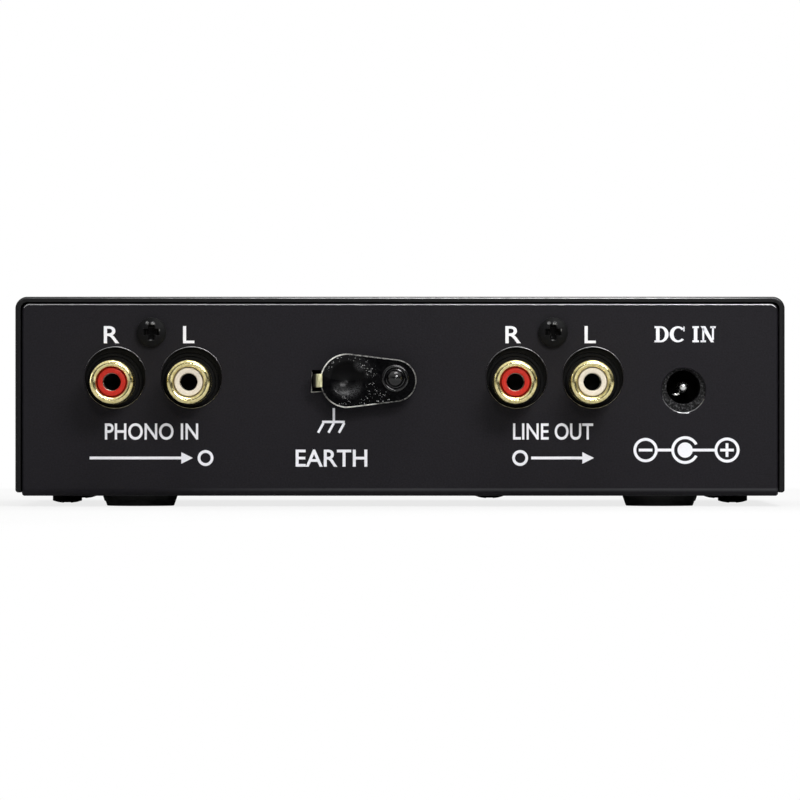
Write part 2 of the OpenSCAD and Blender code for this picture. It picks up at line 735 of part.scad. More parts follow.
// A round-topped lamp with two legs bent down to the board
module power_light() color([0.25, 0.55, 0.95]) {
    root = panel_in - 4;
    tip = panel_y + 1.4;
    bend = 1.2;
    frontward(light_x, 0, front_z) {
        translate([0, 0, root]) cylinder(r = light_r, h = tip - root);
        translate([0, 0, tip]) sphere(light_r);
        translate([0, 0, root]) cylinder(r = light_r + 0.35, h = 1);
    }
    for (s = [-1, 1]) translate([light_x + s * pin_pitch / 2, 3.2 - root, board_top]) rotate(-90)
        bent_lead(0.25, front_rise - bend, bend, 3.4 - bend);
}

module light_bezel() color([0.09, 0.09, 0.09]) frontward(light_x, 0, front_z) difference() {
    union() {
        translate([0, 0, panel_in - 2.4]) cylinder(r = bezel_sleeve_r, h = chassis_t + 3);
        translate([0, 0, panel_y]) cylinder(r1 = bezel_r, r2 = bezel_r - 0.4, h = 0.9);
    }
    translate([0, 0, panel_in - 5]) cylinder(r = light_r + 0.1, h = 12);
}

module level_control() color([0.45, 0.46, 0.48]) difference() {
    union() {
        block([level_x - control_w / 2, -panel_in, board_top],
              [level_x + control_w / 2, control_d - panel_in, control_top]);
        frontward(level_x, eps - panel_in, front_z)
            cylinder(r = bushing_r, h = chassis_t + bushing_out + eps);
    }
    frontward(level_x, shaft_seat - panel_in, front_z) cylinder(r = shaft_r + shaft_gap, h = 20);
}

module level_shaft() color([0.8, 0.8, 0.82]) {
    root = panel_in - shaft_seat + 0.1;
    tip = knob_end - knob_face - 0.1;
    frontward(level_x, 0, front_z) translate([0, 0, root]) cylinder(r = shaft_r, h = tip - root);
}

module level_washer() color([0.75, 0.75, 0.77]) frontward(level_x, -panel_y, front_z)
    tube(washer_r, bushing_r + thread_gap, washer_t);

module level_nut() color([0.78, 0.78, 0.8]) frontward(level_x, -panel_y - washer_t, front_z) difference() {
    cylinder(d = nut_af / cos(30), h = nut_t, $fn = 6);
    translate([0, 0, -1]) cylinder(r = bushing_r + thread_gap, h = nut_t + 2);
}

// A hollow knob with grip grooves round it and a pointer line on its face
module level_knob() color([0.1, 0.1, 0.1]) {
    back = panel_y + knob_gap;
    length = knob_end - back;
    hollow = bushing_out + 0.3 - knob_gap;
    edge = 0.6;
    grip_r = 0.5;
    frontward(level_x, -back, front_z) difference() {
        union() {
            cylinder(r = knob_r, h = length - edge);
            translate([0, 0, length - edge]) cylinder(r1 = knob_r, r2 = knob_r - edge, h = edge);
        }
        translate([0, 0, -1]) cylinder(r = knob_r - knob_wall, h = hollow + 1);
        translate([0, 0, -1]) cylinder(r = shaft_r + press_gap, h = length - knob_face + 1);
        for (turn = [0:15:345]) rotate(turn) translate([knob_r + 0.2, 0, 1.2])
            cylinder(r = grip_r, h = length);
        translate([-0.5, knob_r * 0.35, length - 0.4]) cube([1, knob_r, 2]);
    }
}

// ---------- assembly ----------

chassis();
top_cover();
cover_screws();
feet();
circuit_board();
board_spacer();
board_screws();
jack_housing(input_x);  // input_jack_housing
jack_housing(output_x);  // output_jack_housing
jack_shells(input_x);  // input_jack_shells
jack_shells(output_x);  // output_jack_shells
right_insulators();
left_insulators();
centre_contacts();
jack_screws();
power_jack_housing();
power_jack_pin();
power_jack_leaf();
ground_strip();
ground_lever();
ground_rivet();
ground_spring();
ground_wire();
amplifier_chips();
supply_capacitors();
signal_capacitors();
film_capacitors();
resistors();
voltage_regulator();
rectifier_diode();
power_light();
light_bezel();
level_control();
level_shaft();
level_washer();
level_nut();
level_knob();
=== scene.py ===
import json
import math

import bmesh
import bpy
from mathutils import Matrix, Vector


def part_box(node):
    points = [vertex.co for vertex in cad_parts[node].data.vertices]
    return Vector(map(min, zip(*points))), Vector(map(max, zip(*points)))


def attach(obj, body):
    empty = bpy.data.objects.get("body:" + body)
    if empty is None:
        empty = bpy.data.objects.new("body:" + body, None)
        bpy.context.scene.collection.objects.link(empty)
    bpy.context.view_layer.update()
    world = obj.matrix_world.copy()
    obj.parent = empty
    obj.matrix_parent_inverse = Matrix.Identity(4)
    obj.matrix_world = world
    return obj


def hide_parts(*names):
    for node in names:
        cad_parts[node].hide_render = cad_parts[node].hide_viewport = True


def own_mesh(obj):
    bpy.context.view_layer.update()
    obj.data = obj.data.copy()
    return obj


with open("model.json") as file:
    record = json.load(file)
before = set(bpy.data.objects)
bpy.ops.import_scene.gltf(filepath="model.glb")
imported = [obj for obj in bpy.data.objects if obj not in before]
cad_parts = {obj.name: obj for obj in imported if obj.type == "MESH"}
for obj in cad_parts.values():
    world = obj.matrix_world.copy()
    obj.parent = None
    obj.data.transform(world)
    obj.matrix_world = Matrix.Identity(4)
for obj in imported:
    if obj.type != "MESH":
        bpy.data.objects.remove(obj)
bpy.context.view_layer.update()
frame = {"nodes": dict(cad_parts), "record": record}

# ---------- sizes and places, in metres ----------

mm = 0.001
full_turn = 2 * math.pi
spots = {m["name"]: Vector(m["pos_m"]) for m in frame["record"]["mounts"]}

chassis_low, chassis_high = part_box("chassis")
cover_low, cover_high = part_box("top_cover")
rear = chassis_high.y
front = chassis_low.y
steel = 1.2 * mm
cover_steel = 1.0 * mm
inside = rear - steel
floor_top = chassis_low.z + steel

right_jacks = [spots["input_right_shell"], spots["output_right_shell"]]
left_jacks = [spots["input_left_shell"], spots["output_left_shell"]]
jacks = right_jacks + left_jacks
pairs = {"input": spots["input_right_shell"].lerp(spots["input_left_shell"], 0.5),
         "output": spots["output_right_shell"].lerp(spots["output_left_shell"], 0.5)}
jack_z = right_jacks[0].z
jack_screw_rise = 9.45 * mm
shell_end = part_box("input_jack_shells")[1].y
jack_back = inside - 4 * mm
shell_radius = 4.15 * mm
shell_bore = 3.4 * mm
collar_radius = 4.4 * mm

power_place = spots["power_pin"]
hook_place = spots["ground_hook"]
rivet_low, rivet_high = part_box("ground_rivet")
rivet_place = (rivet_low + rivet_high) / 2
lever_low, lever_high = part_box("ground_lever")
lever_back, lever_front = lever_high.y - 0.8 * mm, lever_high.y
lever_wide, lever_narrow = 5.15 * mm, 4.05 * mm
lever_z = (lever_low.z + lever_high.z) / 2
dish_place = Vector((lever_high.x - lever_wide, lever_front, rivet_place.z))
dish_radius, dish_depth = 3.2 * mm, 1.3 * mm
knob_low, knob_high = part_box("level_knob")
knob_place = (knob_low + knob_high) / 2
light_low, light_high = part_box("light_bezel")
light_place = (light_low + light_high) / 2
hair = 0.01 * mm  # the slack when two places are compared


# ---------- modelling helpers ----------

def deselect():
    if bpy.context.object and bpy.context.object.mode != "OBJECT":
        bpy.ops.object.mode_set(mode="OBJECT")
    bpy.ops.object.select_all(action="DESELECT")


def activate(piece):
    deselect()
    piece.select_set(True)
    bpy.context.view_layer.objects.active = piece


def name_it(piece, name):
    piece.name = name
    piece.data.name = name
    return piece


def settle(piece):
    """Moves the piece's place into its mesh."""
    activate(piece)
    bpy.ops.object.transform_apply(location=True, rotation=True, scale=True)
    return piece


def block(name, low, high):
    """A box between two corners."""
    deselect()
    low, high = Vector(low), Vector(high)
    bpy.ops.mesh.primitive_cube_add(size=1, location=(low + high) / 2, scale=high - low)
    return settle(name_it(bpy.context.object, name))


def rod(name, start, radius, length, axis=(0, 1, 0), sides=64):
    """A plain cylinder from start along axis, for cuts."""
    deselect()
    turn = Vector((0, 0, 1)).rotation_difference(Vector(axis))
    middle = Vector(start) + Vector(axis) * length / 2
    bpy.ops.mesh.primitive_cylinder_add(vertices=sides, radius=radius, depth=length, location=middle,
                                        rotation=turn.to_euler())
    return settle(name_it(bpy.context.object, name))


def edit(piece, chosen="DESELECT"):
    """Opens a piece for editing with nothing selected, or with all of it if chosen is SELECT."""
    activate(piece)
    bpy.ops.object.mode_set(mode="EDIT")
    bpy.ops.mesh.select_mode(type="VERT")
    bpy.ops.mesh.select_all(action=chosen)


def choose_all():
    bpy.ops.mesh.select_all(action="SELECT")


def leave():
    bpy.ops.object.mode_set(mode="OBJECT")


def choose(piece, kind, test):
    """Selects the piece's faces, edges or vertices that pass the test, in edit mode."""
    edit(piece)
    bpy.ops.mesh.select_mode(type=kind)
    mesh = bmesh.from_edit_mesh(piece.data)
    for item in {"FACE": mesh.faces, "EDGE": mesh.edges, "VERT": mesh.verts}[kind]:
        if test(item):
            item.select_set(True)
    mesh.select_flush_mode()
    bmesh.update_edit_mesh(piece.data)


def middle_of(edge):
    return (edge.verts[0].co + edge.verts[1].co) / 2


def along(edge, axis):
    """Whether an edge runs along X, Y or Z, given as 0, 1 or 2."""
    line = edge.verts[1].co - edge.verts[0].co
    return abs(line[axis]) > 0.999 * line.length


def round_edges(piece, radius, segments, test, kind="EDGE", material_index=-1, clamp=True):
    """Rounds the edges that pass the test, or the corners for kind VERT."""
    choose(piece, kind, test)
    bpy.ops.mesh.bevel(offset=radius, segments=segments, profile=0.5, clamp_overlap=clamp,
                       material=material_index, affect="EDGES" if kind == "EDGE" else "VERTICES")
    leave()


def drop_faces(piece, test):
    choose(piece, "FACE", test)
    bpy.ops.mesh.delete(type="FACE")
    leave()


def face_outwards(piece):
    """Turns every face of a closed piece outwards."""
    edit(piece, "SELECT")
    bpy.ops.mesh.normals_make_consistent(inside=False)
    if bmesh.from_edit_mesh(piece.data).calc_volume(signed=True) < 0:
        bpy.ops.mesh.flip_normals()
    leave()


def modify(piece, kind, **values):
    """Adds a modifier with some values and applies it."""
    activate(piece)
    modifier = piece.modifiers.new(kind.lower(), kind)
    for key, value in values.items():
        setattr(modifier, key, value)
    bpy.ops.object.modifier_apply(modifier=modifier.name)
    return piece


def soften(piece, width, segments=2, angle=32, material_index=-1):
    """Rounds every edge that is sharper than the angle."""
    return modify(piece, "BEVEL", width=width, segments=segments, material=material_index,
                  limit_method="ANGLE", angle_limit=math.radians(angle), use_clamp_overlap=True,
                  miter_outer="MITER_ARC")


def smooth(piece, angle=35):
    activate(piece)
    bpy.ops.object.shade_smooth_by_angle(angle=math.radians(angle))
    return modify(piece, "WEIGHTED_NORMAL", keep_sharp=True, weight=50)


def combine(piece, tool, operation):
    """Adds the tool's shape to the piece or cuts it away, and removes the tool."""
    modify(piece, "BOOLEAN", object=tool, operation=operation, solver="EXACT")
    bpy.data.objects.remove(tool)
    return piece


def cut(piece, tool):
    return combine(piece, tool, "DIFFERENCE")


def join(name, parts):
    """Makes one piece of the parts."""
    activate(parts[0])
    for part in parts[1:]:
        part.select_set(True)
    bpy.ops.object.join()
    return name_it(bpy.context.object, name)


def copies(name, model, places):
    """One joined piece with a copy of the model at each place; the model itself is used up."""
    parts = []
    for place in places:
        part = model.copy()
        part.data = model.data.copy()
        bpy.context.scene.collection.objects.link(part)
        part.data.transform(Matrix.Translation(Vector(place)))
        parts.append(part)
    bpy.data.objects.remove(model)
    return join(name, parts)


def arc(middle, height, radius, first, last, steps, tall=None):
    """Points of a round stretch, angles in degrees. Tall makes it an oval of that half height."""
    points = []
    for i in range(steps + 1):
        angle = math.radians(first + (last - first) * i / steps)
        points.append((middle + radius * math.cos(angle), height + (tall or radius) * math.sin(angle)))
    return points


def drawn(name, points):
    """A line of edges through the points, left open for editing with all of it selected."""
    deselect()
    bpy.ops.mesh.primitive_plane_add(size=mm, location=points[0])
    piece = settle(name_it(bpy.context.object, name))
    edit(piece, "SELECT")
    bpy.ops.mesh.merge(type="CENTER")
    for before, after in zip(points, points[1:]):
        bpy.ops.mesh.extrude_vertices_move(TRANSFORM_OT_translate={"value": after - before})
    choose_all()
    return piece


def turned(name, profile, centre, axis=(0, 1, 0), steps=64, closed=False):
    """A turned piece. The profile's points are a distance from the axis and a height along it."""
    axis = Vector(axis)
    side = Vector((0, 0, 1)) if abs(axis.z) < 0.5 else Vector((1, 0, 0))
    points = [Vector(centre) + side * r + axis * h for r, h in profile]
    if closed:
        points.append(points[0])
    piece = drawn(name, points)
    bpy.ops.mesh.spin(steps=steps, angle=full_turn, center=Vector(centre), axis=axis)
    choose_all()
    bpy.ops.mesh.remove_doubles(threshold=0.002 * mm)
    bpy.ops.mesh.normals_make_consistent(inside=False)
    leave()
    return piece


def plate(name, outline, low, high):
    """A flat piece across Y whose outline is a list of points (x, z)."""
    piece = drawn(name, [Vector((x, low, z)) for x, z in outline])
    bpy.ops.mesh.edge_face_add()
    choose_all()
    bpy.ops.mesh.extrude_region_move(TRANSFORM_OT_translate={"value": (0, high - low, 0)})
    choose_all()
    bpy.ops.mesh.normals_make_consistent(inside=False)
    leave()
    return piece


def refined(name, node, width):
    """A merged copy of a CAD node with its sharp edges rounded."""
    source = frame["nodes"][node]
    piece = source.copy()
    piece.data = source.data.copy()
    piece.parent = None
    for key in list(piece.keys()):
        del piece[key]
    bpy.context.scene.collection.objects.link(piece)
    name_it(piece, name)
    edit(piece, "SELECT")
    bpy.ops.mesh.remove_doubles(threshold=0.001 * mm)
    bpy.ops.mesh.dissolve_limited(angle_limit=math.radians(0.5))
    leave()
    return soften(piece, width)


def place_piece(piece, body, slot, material, *nodes):
    """Gives a finished piece its material and its body, and hides the nodes that it stands for. Its slot is
    not used.
    """
    if material:
        piece.data.materials.clear()
        piece.data.materials.append(material)
    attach(piece, body)
    if nodes:
        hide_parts(*nodes)
    return piece


# ---------- finishes ----------

per_mm = 1 / mm
dust_colour = (0.35, 0.34, 0.32)


def plug(tree, socket, value):
    """Sets a socket to a value, or links it if the value is another socket."""
    if isinstance(value, bpy.types.NodeSocket):
        tree.links.new(value, socket)
    else:
        socket.default_value = value


def math_node(tree, operation, a, b, kind="ShaderNodeMath"):
    """A Math or Vector Math node; a and b are values or sockets."""
    node = tree.nodes.new(kind)
    node.operation = operation
    plug(tree, node.inputs[0], a)
    plug(tree, node.inputs[1], b)
    return node.outputs["Value" if kind == "ShaderNodeMath" or operation == "DISTANCE" else "Vector"]


def times(tree, a, b):
    return math_node(tree, "MULTIPLY", a, b)


def larger(tree, a, b):
    return math_node(tree, "MAXIMUM", a, b)


def own_place(tree):
    """The place on the object, in metres."""
    return tree.nodes.new("ShaderNodeTexCoord").outputs["Object"]


def away_from(tree, point):
    """The distance from a point of the object."""
    return math_node(tree, "DISTANCE", own_place(tree), point, "ShaderNodeVectorMath")


def split(tree, vector):
    """A vector's X, Y and Z."""
    node = tree.nodes.new("ShaderNodeSeparateXYZ")
    tree.links.new(vector, node.inputs[0])
    return node.outputs


def noise(tree, place, scale, detail):
    """Noise at a place, with its scale given by a socket."""
    node = tree.nodes.new("ShaderNodeTexNoise")
    node.inputs["Detail"].default_value = detail
    tree.links.new(place, node.inputs["Vector"])
    tree.links.new(scale, node.inputs["Scale"])
    return node.outputs["Fac"]


def fade(tree, value, clear, full, soft=True):
    """Rises from 0 where the value is at clear to 1 where it is at full."""
    node = tree.nodes.new("ShaderNodeMapRange")
    if soft:
        node.interpolation_type = "SMOOTHSTEP"
    for label, given in (("Value", value), ("From Min", clear), ("From Max", full)):
        plug(tree, node.inputs[label], given)
    return node.outputs["Result"]


def spread(tree, factor, low, high):
    """A number between low and high."""
    node = tree.nodes.new("ShaderNodeMapRange")
    node.inputs["To Min"].default_value = low
    node.inputs["To Max"].default_value = high
    tree.links.new(factor, node.inputs["Value"])
    return node.outputs["Result"]


def mix_colours(tree, factor, a, b):
    """A colour between a and b; each is a colour or a socket."""
    node = tree.nodes.new("ShaderNodeMix")
    node.data_type = "RGBA"
    tree.links.new(factor, node.inputs["Factor"])
    for socket, value in ((node.inputs[6], a), (node.inputs[7], b)):
        plug(tree, socket, (*value, 1) if isinstance(value, tuple) else value)
    return node.outputs[2]


def group(name, inputs, outputs):
    """An empty node group. Its inputs are names with first values, each a number or a vector."""
    tree = bpy.data.node_groups.new(name, "ShaderNodeTree")
    for label, value in inputs.items():
        kind = "NodeSocketVector" if isinstance(value, tuple) else "NodeSocketFloat"
        tree.interface.new_socket(label, in_out="INPUT", socket_type=kind).default_value = value
    for label in outputs:
        tree.interface.new_socket(label, in_out="OUTPUT", socket_type="NodeSocketFloat")
    return tree, tree.nodes.new("NodeGroupInput").outputs, tree.nodes.new("NodeGroupOutput").inputs


def grain_group():
    """Noise in waves per millimetre, drawn out along one axis if Stretch says so."""
    tree, given, result = group("grain", {"Scale": 1.0, "Stretch": (1, 1, 1), "Low": 0.3, "High": 0.7},
                                ("Shade", "Height"))
    place = math_node(tree, "MULTIPLY", own_place(tree), given["Stretch"], "ShaderNodeVectorMath")
    height = noise(tree, place, times(tree, given["Scale"], per_mm), 4)
    tree.links.new(fade(tree, height, given["Low"], given["High"], soft=False), result["Shade"])
    tree.links.new(height, result["Height"])
    return tree


def speck_group():
    """A mask of small scattered specks, gathered where a broad noise is high."""
    tree, given, result = group("specks", {"Scale": 1.0, "Size": 0.2, "Amount": 0.5}, ("Mask",))
    place = own_place(tree)
    cells = tree.nodes.new("ShaderNodeTexVoronoi")
    tree.links.new(place, cells.inputs["Vector"])
    tree.links.new(times(tree, given["Scale"], per_mm), cells.inputs["Scale"])
    broad = noise(tree, place, times(tree, given["Scale"], 0.24 * per_mm), 2)
    chance = split(tree, cells.outputs["Color"])
    size = times(tree, given["Size"], math_node(tree, "SUBTRACT", chance["X"], times(tree, chance["Y"], 0.6)))
    spot = math_node(tree, "LESS_THAN", cells.outputs["Distance"], size)
    patch = math_node(tree, "GREATER_THAN", broad, math_node(tree, "SUBTRACT", 1.0, given["Amount"]))
    tree.links.new(times(tree, spot, patch), result["Mask"])
    return tree


def dust_group():
    """A mask of fine dust that has settled on faces that look upwards."""
    tree, given, result = group("dust", {"Amount": 0.1, "Scale": 1.0}, ("Mask",))
    facing = tree.nodes.new("ShaderNodeNewGeometry")
    upwards = larger(tree, split(tree, facing.outputs["Normal"])["Z"], 0.0)
    fine = noise(tree, own_place(tree), times(tree, given["Scale"], per_mm), 6)
    tree.links.new(times(tree, times(tree, upwards, fine), given["Amount"]), result["Mask"])
    return tree


grain = grain_group()
specks = speck_group()
dust = dust_group()


def use(tree, made, **values):
    """Places a node group in a material with its own values."""
    node = tree.nodes.new("ShaderNodeGroup")
    node.node_tree = made
    for key, value in values.items():
        node.inputs[key.capitalize()].default_value = value
    return node


def finish(name, dark, light, rough, scale, bump, stretch=(1, 1, 1), metal=0.0, specular=0.5, coat=0.0,
           dusty=0.0, low=0.3, high=0.7):
    """A surface whose colour, roughness and height follow one grain, in waves per millimetre."""
    material = bpy.data.materials.new(name)
    material.use_nodes = True
    tree = material.node_tree
    shader = tree.nodes["Principled BSDF"]
    for label, value in (("Metallic", metal), ("Specular IOR Level", specular), ("Coat Weight", coat),
                         ("Coat Roughness", 0.15)):
        shader.inputs[label].default_value = value
    texture = use(tree, grain, scale=scale, stretch=stretch, low=low, high=high)
    colour = mix_colours(tree, texture.outputs["Shade"], dark, light)
    if dusty:
        settled = use(tree, dust, amount=dusty, scale=2.5)
        colour = mix_colours(tree, settled.outputs["Mask"], colour, dust_colour)
    tree.links.new(colour, shader.inputs["Base Color"])
    tree.links.new(spread(tree, texture.outputs["Shade"], *rough), shader.inputs["Roughness"])
    relief = tree.nodes.new("ShaderNodeBump")
    relief.inputs["Strength"].default_value = 1.0
    relief.inputs["Distance"].default_value = bump * mm
    tree.links.new(texture.outputs["Height"], relief.inputs["Height"])
    tree.links.new(relief.outputs["Normal"], shader.inputs["Normal"])
    return material


def near(tree, places, low=0.0, high=1.0):
    """A soft mask round some places, each a point and a reach, between two numbers."""
    total = 0.0
    for point, reach in places:
        total = larger(tree, fade(tree, away_from(tree, point), reach, 0.3 * reach), total)
    return spread(tree, total, low, high)


def places_at(depth, rows, start=(0, 0)):
    """Places for near on a plane across Y. Rows are x, z and reach in millimetres from a start (x, z)."""
    return [((start[0] + x * mm, depth, start[1] + z * mm), reach * mm) for x, z, reach in rows]


def slope_mask(tree, axis, clear, full):
    """Rises from none at one place along an axis to full at another."""
    return fade(tree, split(tree, own_place(tree))[axis], clear, full, soft=False)


def overlay(material, mask, colour, metal=None, rough=None):
    """Another colour where the mask is high, with its own metal and roughness if they are given."""
    tree = material.node_tree
    shader = tree.nodes["Principled BSDF"]
    base = shader.inputs["Base Color"]
    tree.links.new(mix_colours(tree, mask, base.links[0].from_socket, colour), base)
    for label, value in (("Metallic", metal), ("Roughness", rough)):
        if value is None:
            continue
        socket = shader.inputs[label]
        step = tree.nodes.new("ShaderNodeMix")
        tree.links.new(mask, step.inputs["Factor"])
        plug(tree, step.inputs[2], socket.links[0].from_socket if socket.links else socket.default_value)
        step.inputs[3].default_value = value
        tree.links.new(step.outputs[0], socket)


def overlay_along(material, axis, clear, full, colour, metal=None, rough=None):
    """Another colour that sets in along an axis."""
    overlay(material, slope_mask(material.node_tree, axis, clear, full), colour, metal, rough)


# In each: the dark and the light colour, the least and the greatest roughness, the grain's waves per
# millimetre and its height in millimetres.
powder_coat = finish("powder_coat", (0.0068, 0.0063, 0.0078), (0.0115, 0.0105, 0.0135), (0.42, 0.56),
                     3.2, 0.016, specular=0.1, dusty=0.03)
cover_coat = finish("cover_coat", (0.004, 0.004, 0.0044), (0.008, 0.008, 0.0085), (0.54, 0.68), 3.2, 0.016,
                    specular=0.12, dusty=0.03)
# The two edge finishes are bright metallic copies of the black coat: a painted highlight for the sheet edges
# that slant upwards.
coat_edge_highlight = finish("coat_edge_highlight", (0.2, 0.2, 0.205), (0.5, 0.5, 0.51), (0.32, 0.42), 1.1, 0.004, metal=1.0)
cover_edge_highlight = finish("cover_edge_highlight", (0.26, 0.26, 0.262), (0.44, 0.44, 0.445), (0.32, 0.42), 1.1, 0.004,
                    metal=1.0)
print_ink = finish("print_ink", (0.76, 0.76, 0.8), (0.86, 0.86, 0.9), (0.45, 0.6), 5.0, 0.004, specular=0.2)
gold_plate = finish("gold_plate", (0.62, 0.53, 0.22), (0.88, 0.78, 0.42), (0.1, 0.2), 3.2, 0.0005, metal=1.0,
                    stretch=(1, 0.25, 1), low=0.36, high=0.6)
red_plastic = finish("red_plastic", (0.4, 0.016, 0.009), (0.52, 0.026, 0.014), (0.34, 0.48), 2.5, 0.004,
                     specular=0.15)
cream_plastic = finish("cream_plastic", (0.66, 0.59, 0.48), (0.76, 0.69, 0.57), (0.34, 0.48), 2.5, 0.004,
                       specular=0.2)
contact_nickel = finish("contact_nickel", (0.3, 0.28, 0.22), (0.6, 0.57, 0.46), (0.22, 0.4), 5.0, 0.006,
                        metal=1.0, stretch=(1, 0.1, 1))
jack_plastic = finish("jack_plastic", (0.0012, 0.0012, 0.0014), (0.004, 0.004, 0.0044), (0.45, 0.65),
                      3.0, 0.02, stretch=(0.6, 1, 2.4), specular=0.08)
socket_plastic = finish("socket_plastic", (0.0025, 0.0025, 0.0027), (0.09, 0.09, 0.093), (0.5, 0.75),
                        3.6, 0.05, specular=0.12, low=0.5, high=0.68)
black_zinc = finish("black_zinc", (0.001, 0.001, 0.0012), (0.003, 0.003, 0.0035), (0.42, 0.6), 4.0, 0.01,
                    specular=0.1)
zinc_edge = finish("zinc_edge", (0.004, 0.004, 0.004), (0.02, 0.02, 0.02), (0.35, 0.5), 1.2, 0.01, metal=0.5)
foot_rubber = finish("foot_rubber", (0.006, 0.006, 0.006), (0.014, 0.014, 0.014), (0.7, 0.85), 5.0, 0.02,
                     dusty=0.06)
rivet_paint = finish("rivet_paint", (0.0008, 0.0008, 0.001), (0.0025, 0.0025, 0.003), (0.1, 0.2), 2.0, 0.006)
lever_paint = finish("lever_paint", (0.0008, 0.0008, 0.001), (0.0025, 0.0025, 0.003), (0.08, 0.15), 2.0,
                     0.002, specular=0.09)
bare_edge = finish("bare_edge", (0.5, 0.49, 0.46), (0.95, 0.94, 0.88), (0.35, 0.6), 2.4, 0.02, metal=0.6)
clip_brass = finish("clip_brass", (0.36, 0.34, 0.18), (0.8, 0.78, 0.52), (0.3, 0.55), 3.0, 0.02, metal=1.0,
                    stretch=(1, 1, 0.2))
spring_steel = finish("spring_steel", (0.3, 0.3, 0.31), (0.5, 0.5, 0.51), (0.2, 0.36), 5.0, 0.006, metal=1.0)
bright_nickel = finish("bright_nickel", (0.58, 0.58, 0.58), (0.78, 0.78, 0.77), (0.14, 0.3), 4.0, 0.004,
                       metal=1.0)
knob_plastic = finish("knob_plastic", (0.008, 0.008, 0.009), (0.014, 0.014, 0.015), (0.45, 0.6), 5.0, 0.01,
                      dusty=0.03)
bezel_plastic = finish("bezel_plastic", (0.008, 0.008, 0.009), (0.016, 0.016, 0.018), (0.28, 0.4), 4.0, 0.004)
chip_epoxy = finish("chip_epoxy", (0.012, 0.012, 0.012), (0.03, 0.03, 0.03), (0.5, 0.7), 6.0, 0.01)
can_sleeve = finish("can_sleeve", (0.01, 0.012, 0.03), (0.025, 0.03, 0.06), (0.25, 0.35), 1.5, 0.004)
film_epoxy = finish("film_epoxy", (0.36, 0.03, 0.015), (0.52, 0.06, 0.03), (0.2, 0.32), 1.2, 0.02)
wire_green = finish("wire_green", (0.02, 0.2, 0.05), (0.04, 0.3, 0.08), (0.35, 0.5), 4.0, 0.004)
spacer_brass = finish("spacer_brass", (0.55, 0.48, 0.3), (0.75, 0.66, 0.42), (0.2, 0.4), 3.0, 0.006,
                      metal=1.0, stretch=(1, 1, 0.2))
lens_blue = finish("lens_blue", (0.05, 0.12, 0.42), (0.07, 0.16, 0.5), (0.08, 0.14), 2.0, 0.002, coat=0.5)
board_green = finish("board_green", (0.012, 0.11, 0.04), (0.02, 0.17, 0.07), (0.25, 0.4), 0.8, 0.004,
                     coat=0.3)
resistor_lacquer = finish("resistor_lacquer", (0.25, 0.42, 0.52), (0.35, 0.55, 0.65), (0.25, 0.35), 2.0,
                          0.004)
control_can = finish("control_can", (0.42, 0.42, 0.43), (0.6, 0.6, 0.61), (0.3, 0.45), 3.0, 0.006, metal=1.0)


def paint_case_light_and_shade():
    """Painted light: a highlight along part of the rear panel's bottom bend, a brighter edge highlight at the
    panel's top, highlights round the slot, and shade at both ends of the cover's edge.
    """
    tree = powder_coat.node_tree
    # A painted highlight on the rear panel's bottom bend, strongest towards -X.
    bend_z = chassis_low.z + 1.2 * mm
    painted_light = slope_mask(tree, "Z", bend_z - 0.45 * mm, bend_z - 0.05 * mm)
    for axis, clear, full in (("Z", bend_z + 0.32 * mm, bend_z + 0.14 * mm), ("X", 48 * mm, 12 * mm),
                              ("Y", 0, 40 * mm)):
        painted_light = times(tree, painted_light, slope_mask(tree, axis, clear, full))
    overlay(powder_coat, painted_light, (0.037, 0.037, 0.04))
    # A painted highlight: the edge finish is brighter at the top of the rear panel.
    panel_top, panel_crest = 37.0 * mm, 37.4 * mm
    overlay_along(coat_edge_highlight, "Z", panel_top, panel_crest, (0.66, 0.66, 0.67))
    # Painted highlights on the slot's rim, near its outer side.
    slot_highlights = places_at(rear, ((1.75, 1.7, 1.5), (1.4, -2.0, 1.7)), (hook_place.x, hook_place.z))
    overlay(coat_edge_highlight, near(coat_edge_highlight.node_tree, slot_highlights), (0.6, 0.59, 0.54), metal=0.1, rough=0.5)
    # Painted shade: the cover's edge highlight is darker towards both ends along X.
    overlay_along(cover_edge_highlight, "X", 0.0, 75.0 * mm, (0.03, 0.03, 0.031))
    overlay_along(cover_edge_highlight, "X", -50.0 * mm, -72.0 * mm, (0.05, 0.05, 0.051))


def paint_shade_in_depths():
    """Painted shade: near-black, dull metal and plastic deep in the jacks, and a dark far end of the clip's
    hook.
    """
    # Painted shade deep in the plug contacts and in the power socket.
    overlay_along(contact_nickel, "Y", shell_end - 5.5 * mm, shell_end - 9.5 * mm, (0.004, 0.004, 0.004),
                  metal=0.2, rough=0.8)
    overlay_along(socket_plastic, "Y", inside - 0.1 * mm, inside - 1.5 * mm, (0.001, 0.001, 0.001), rough=0.9)
    # Painted shade on the bend of the clip's hook.
    overlay_along(clip_brass, "X", 15.6 * mm, 16.0 * mm, (0.012, 0.011, 0.008), metal=0.5, rough=0.5)


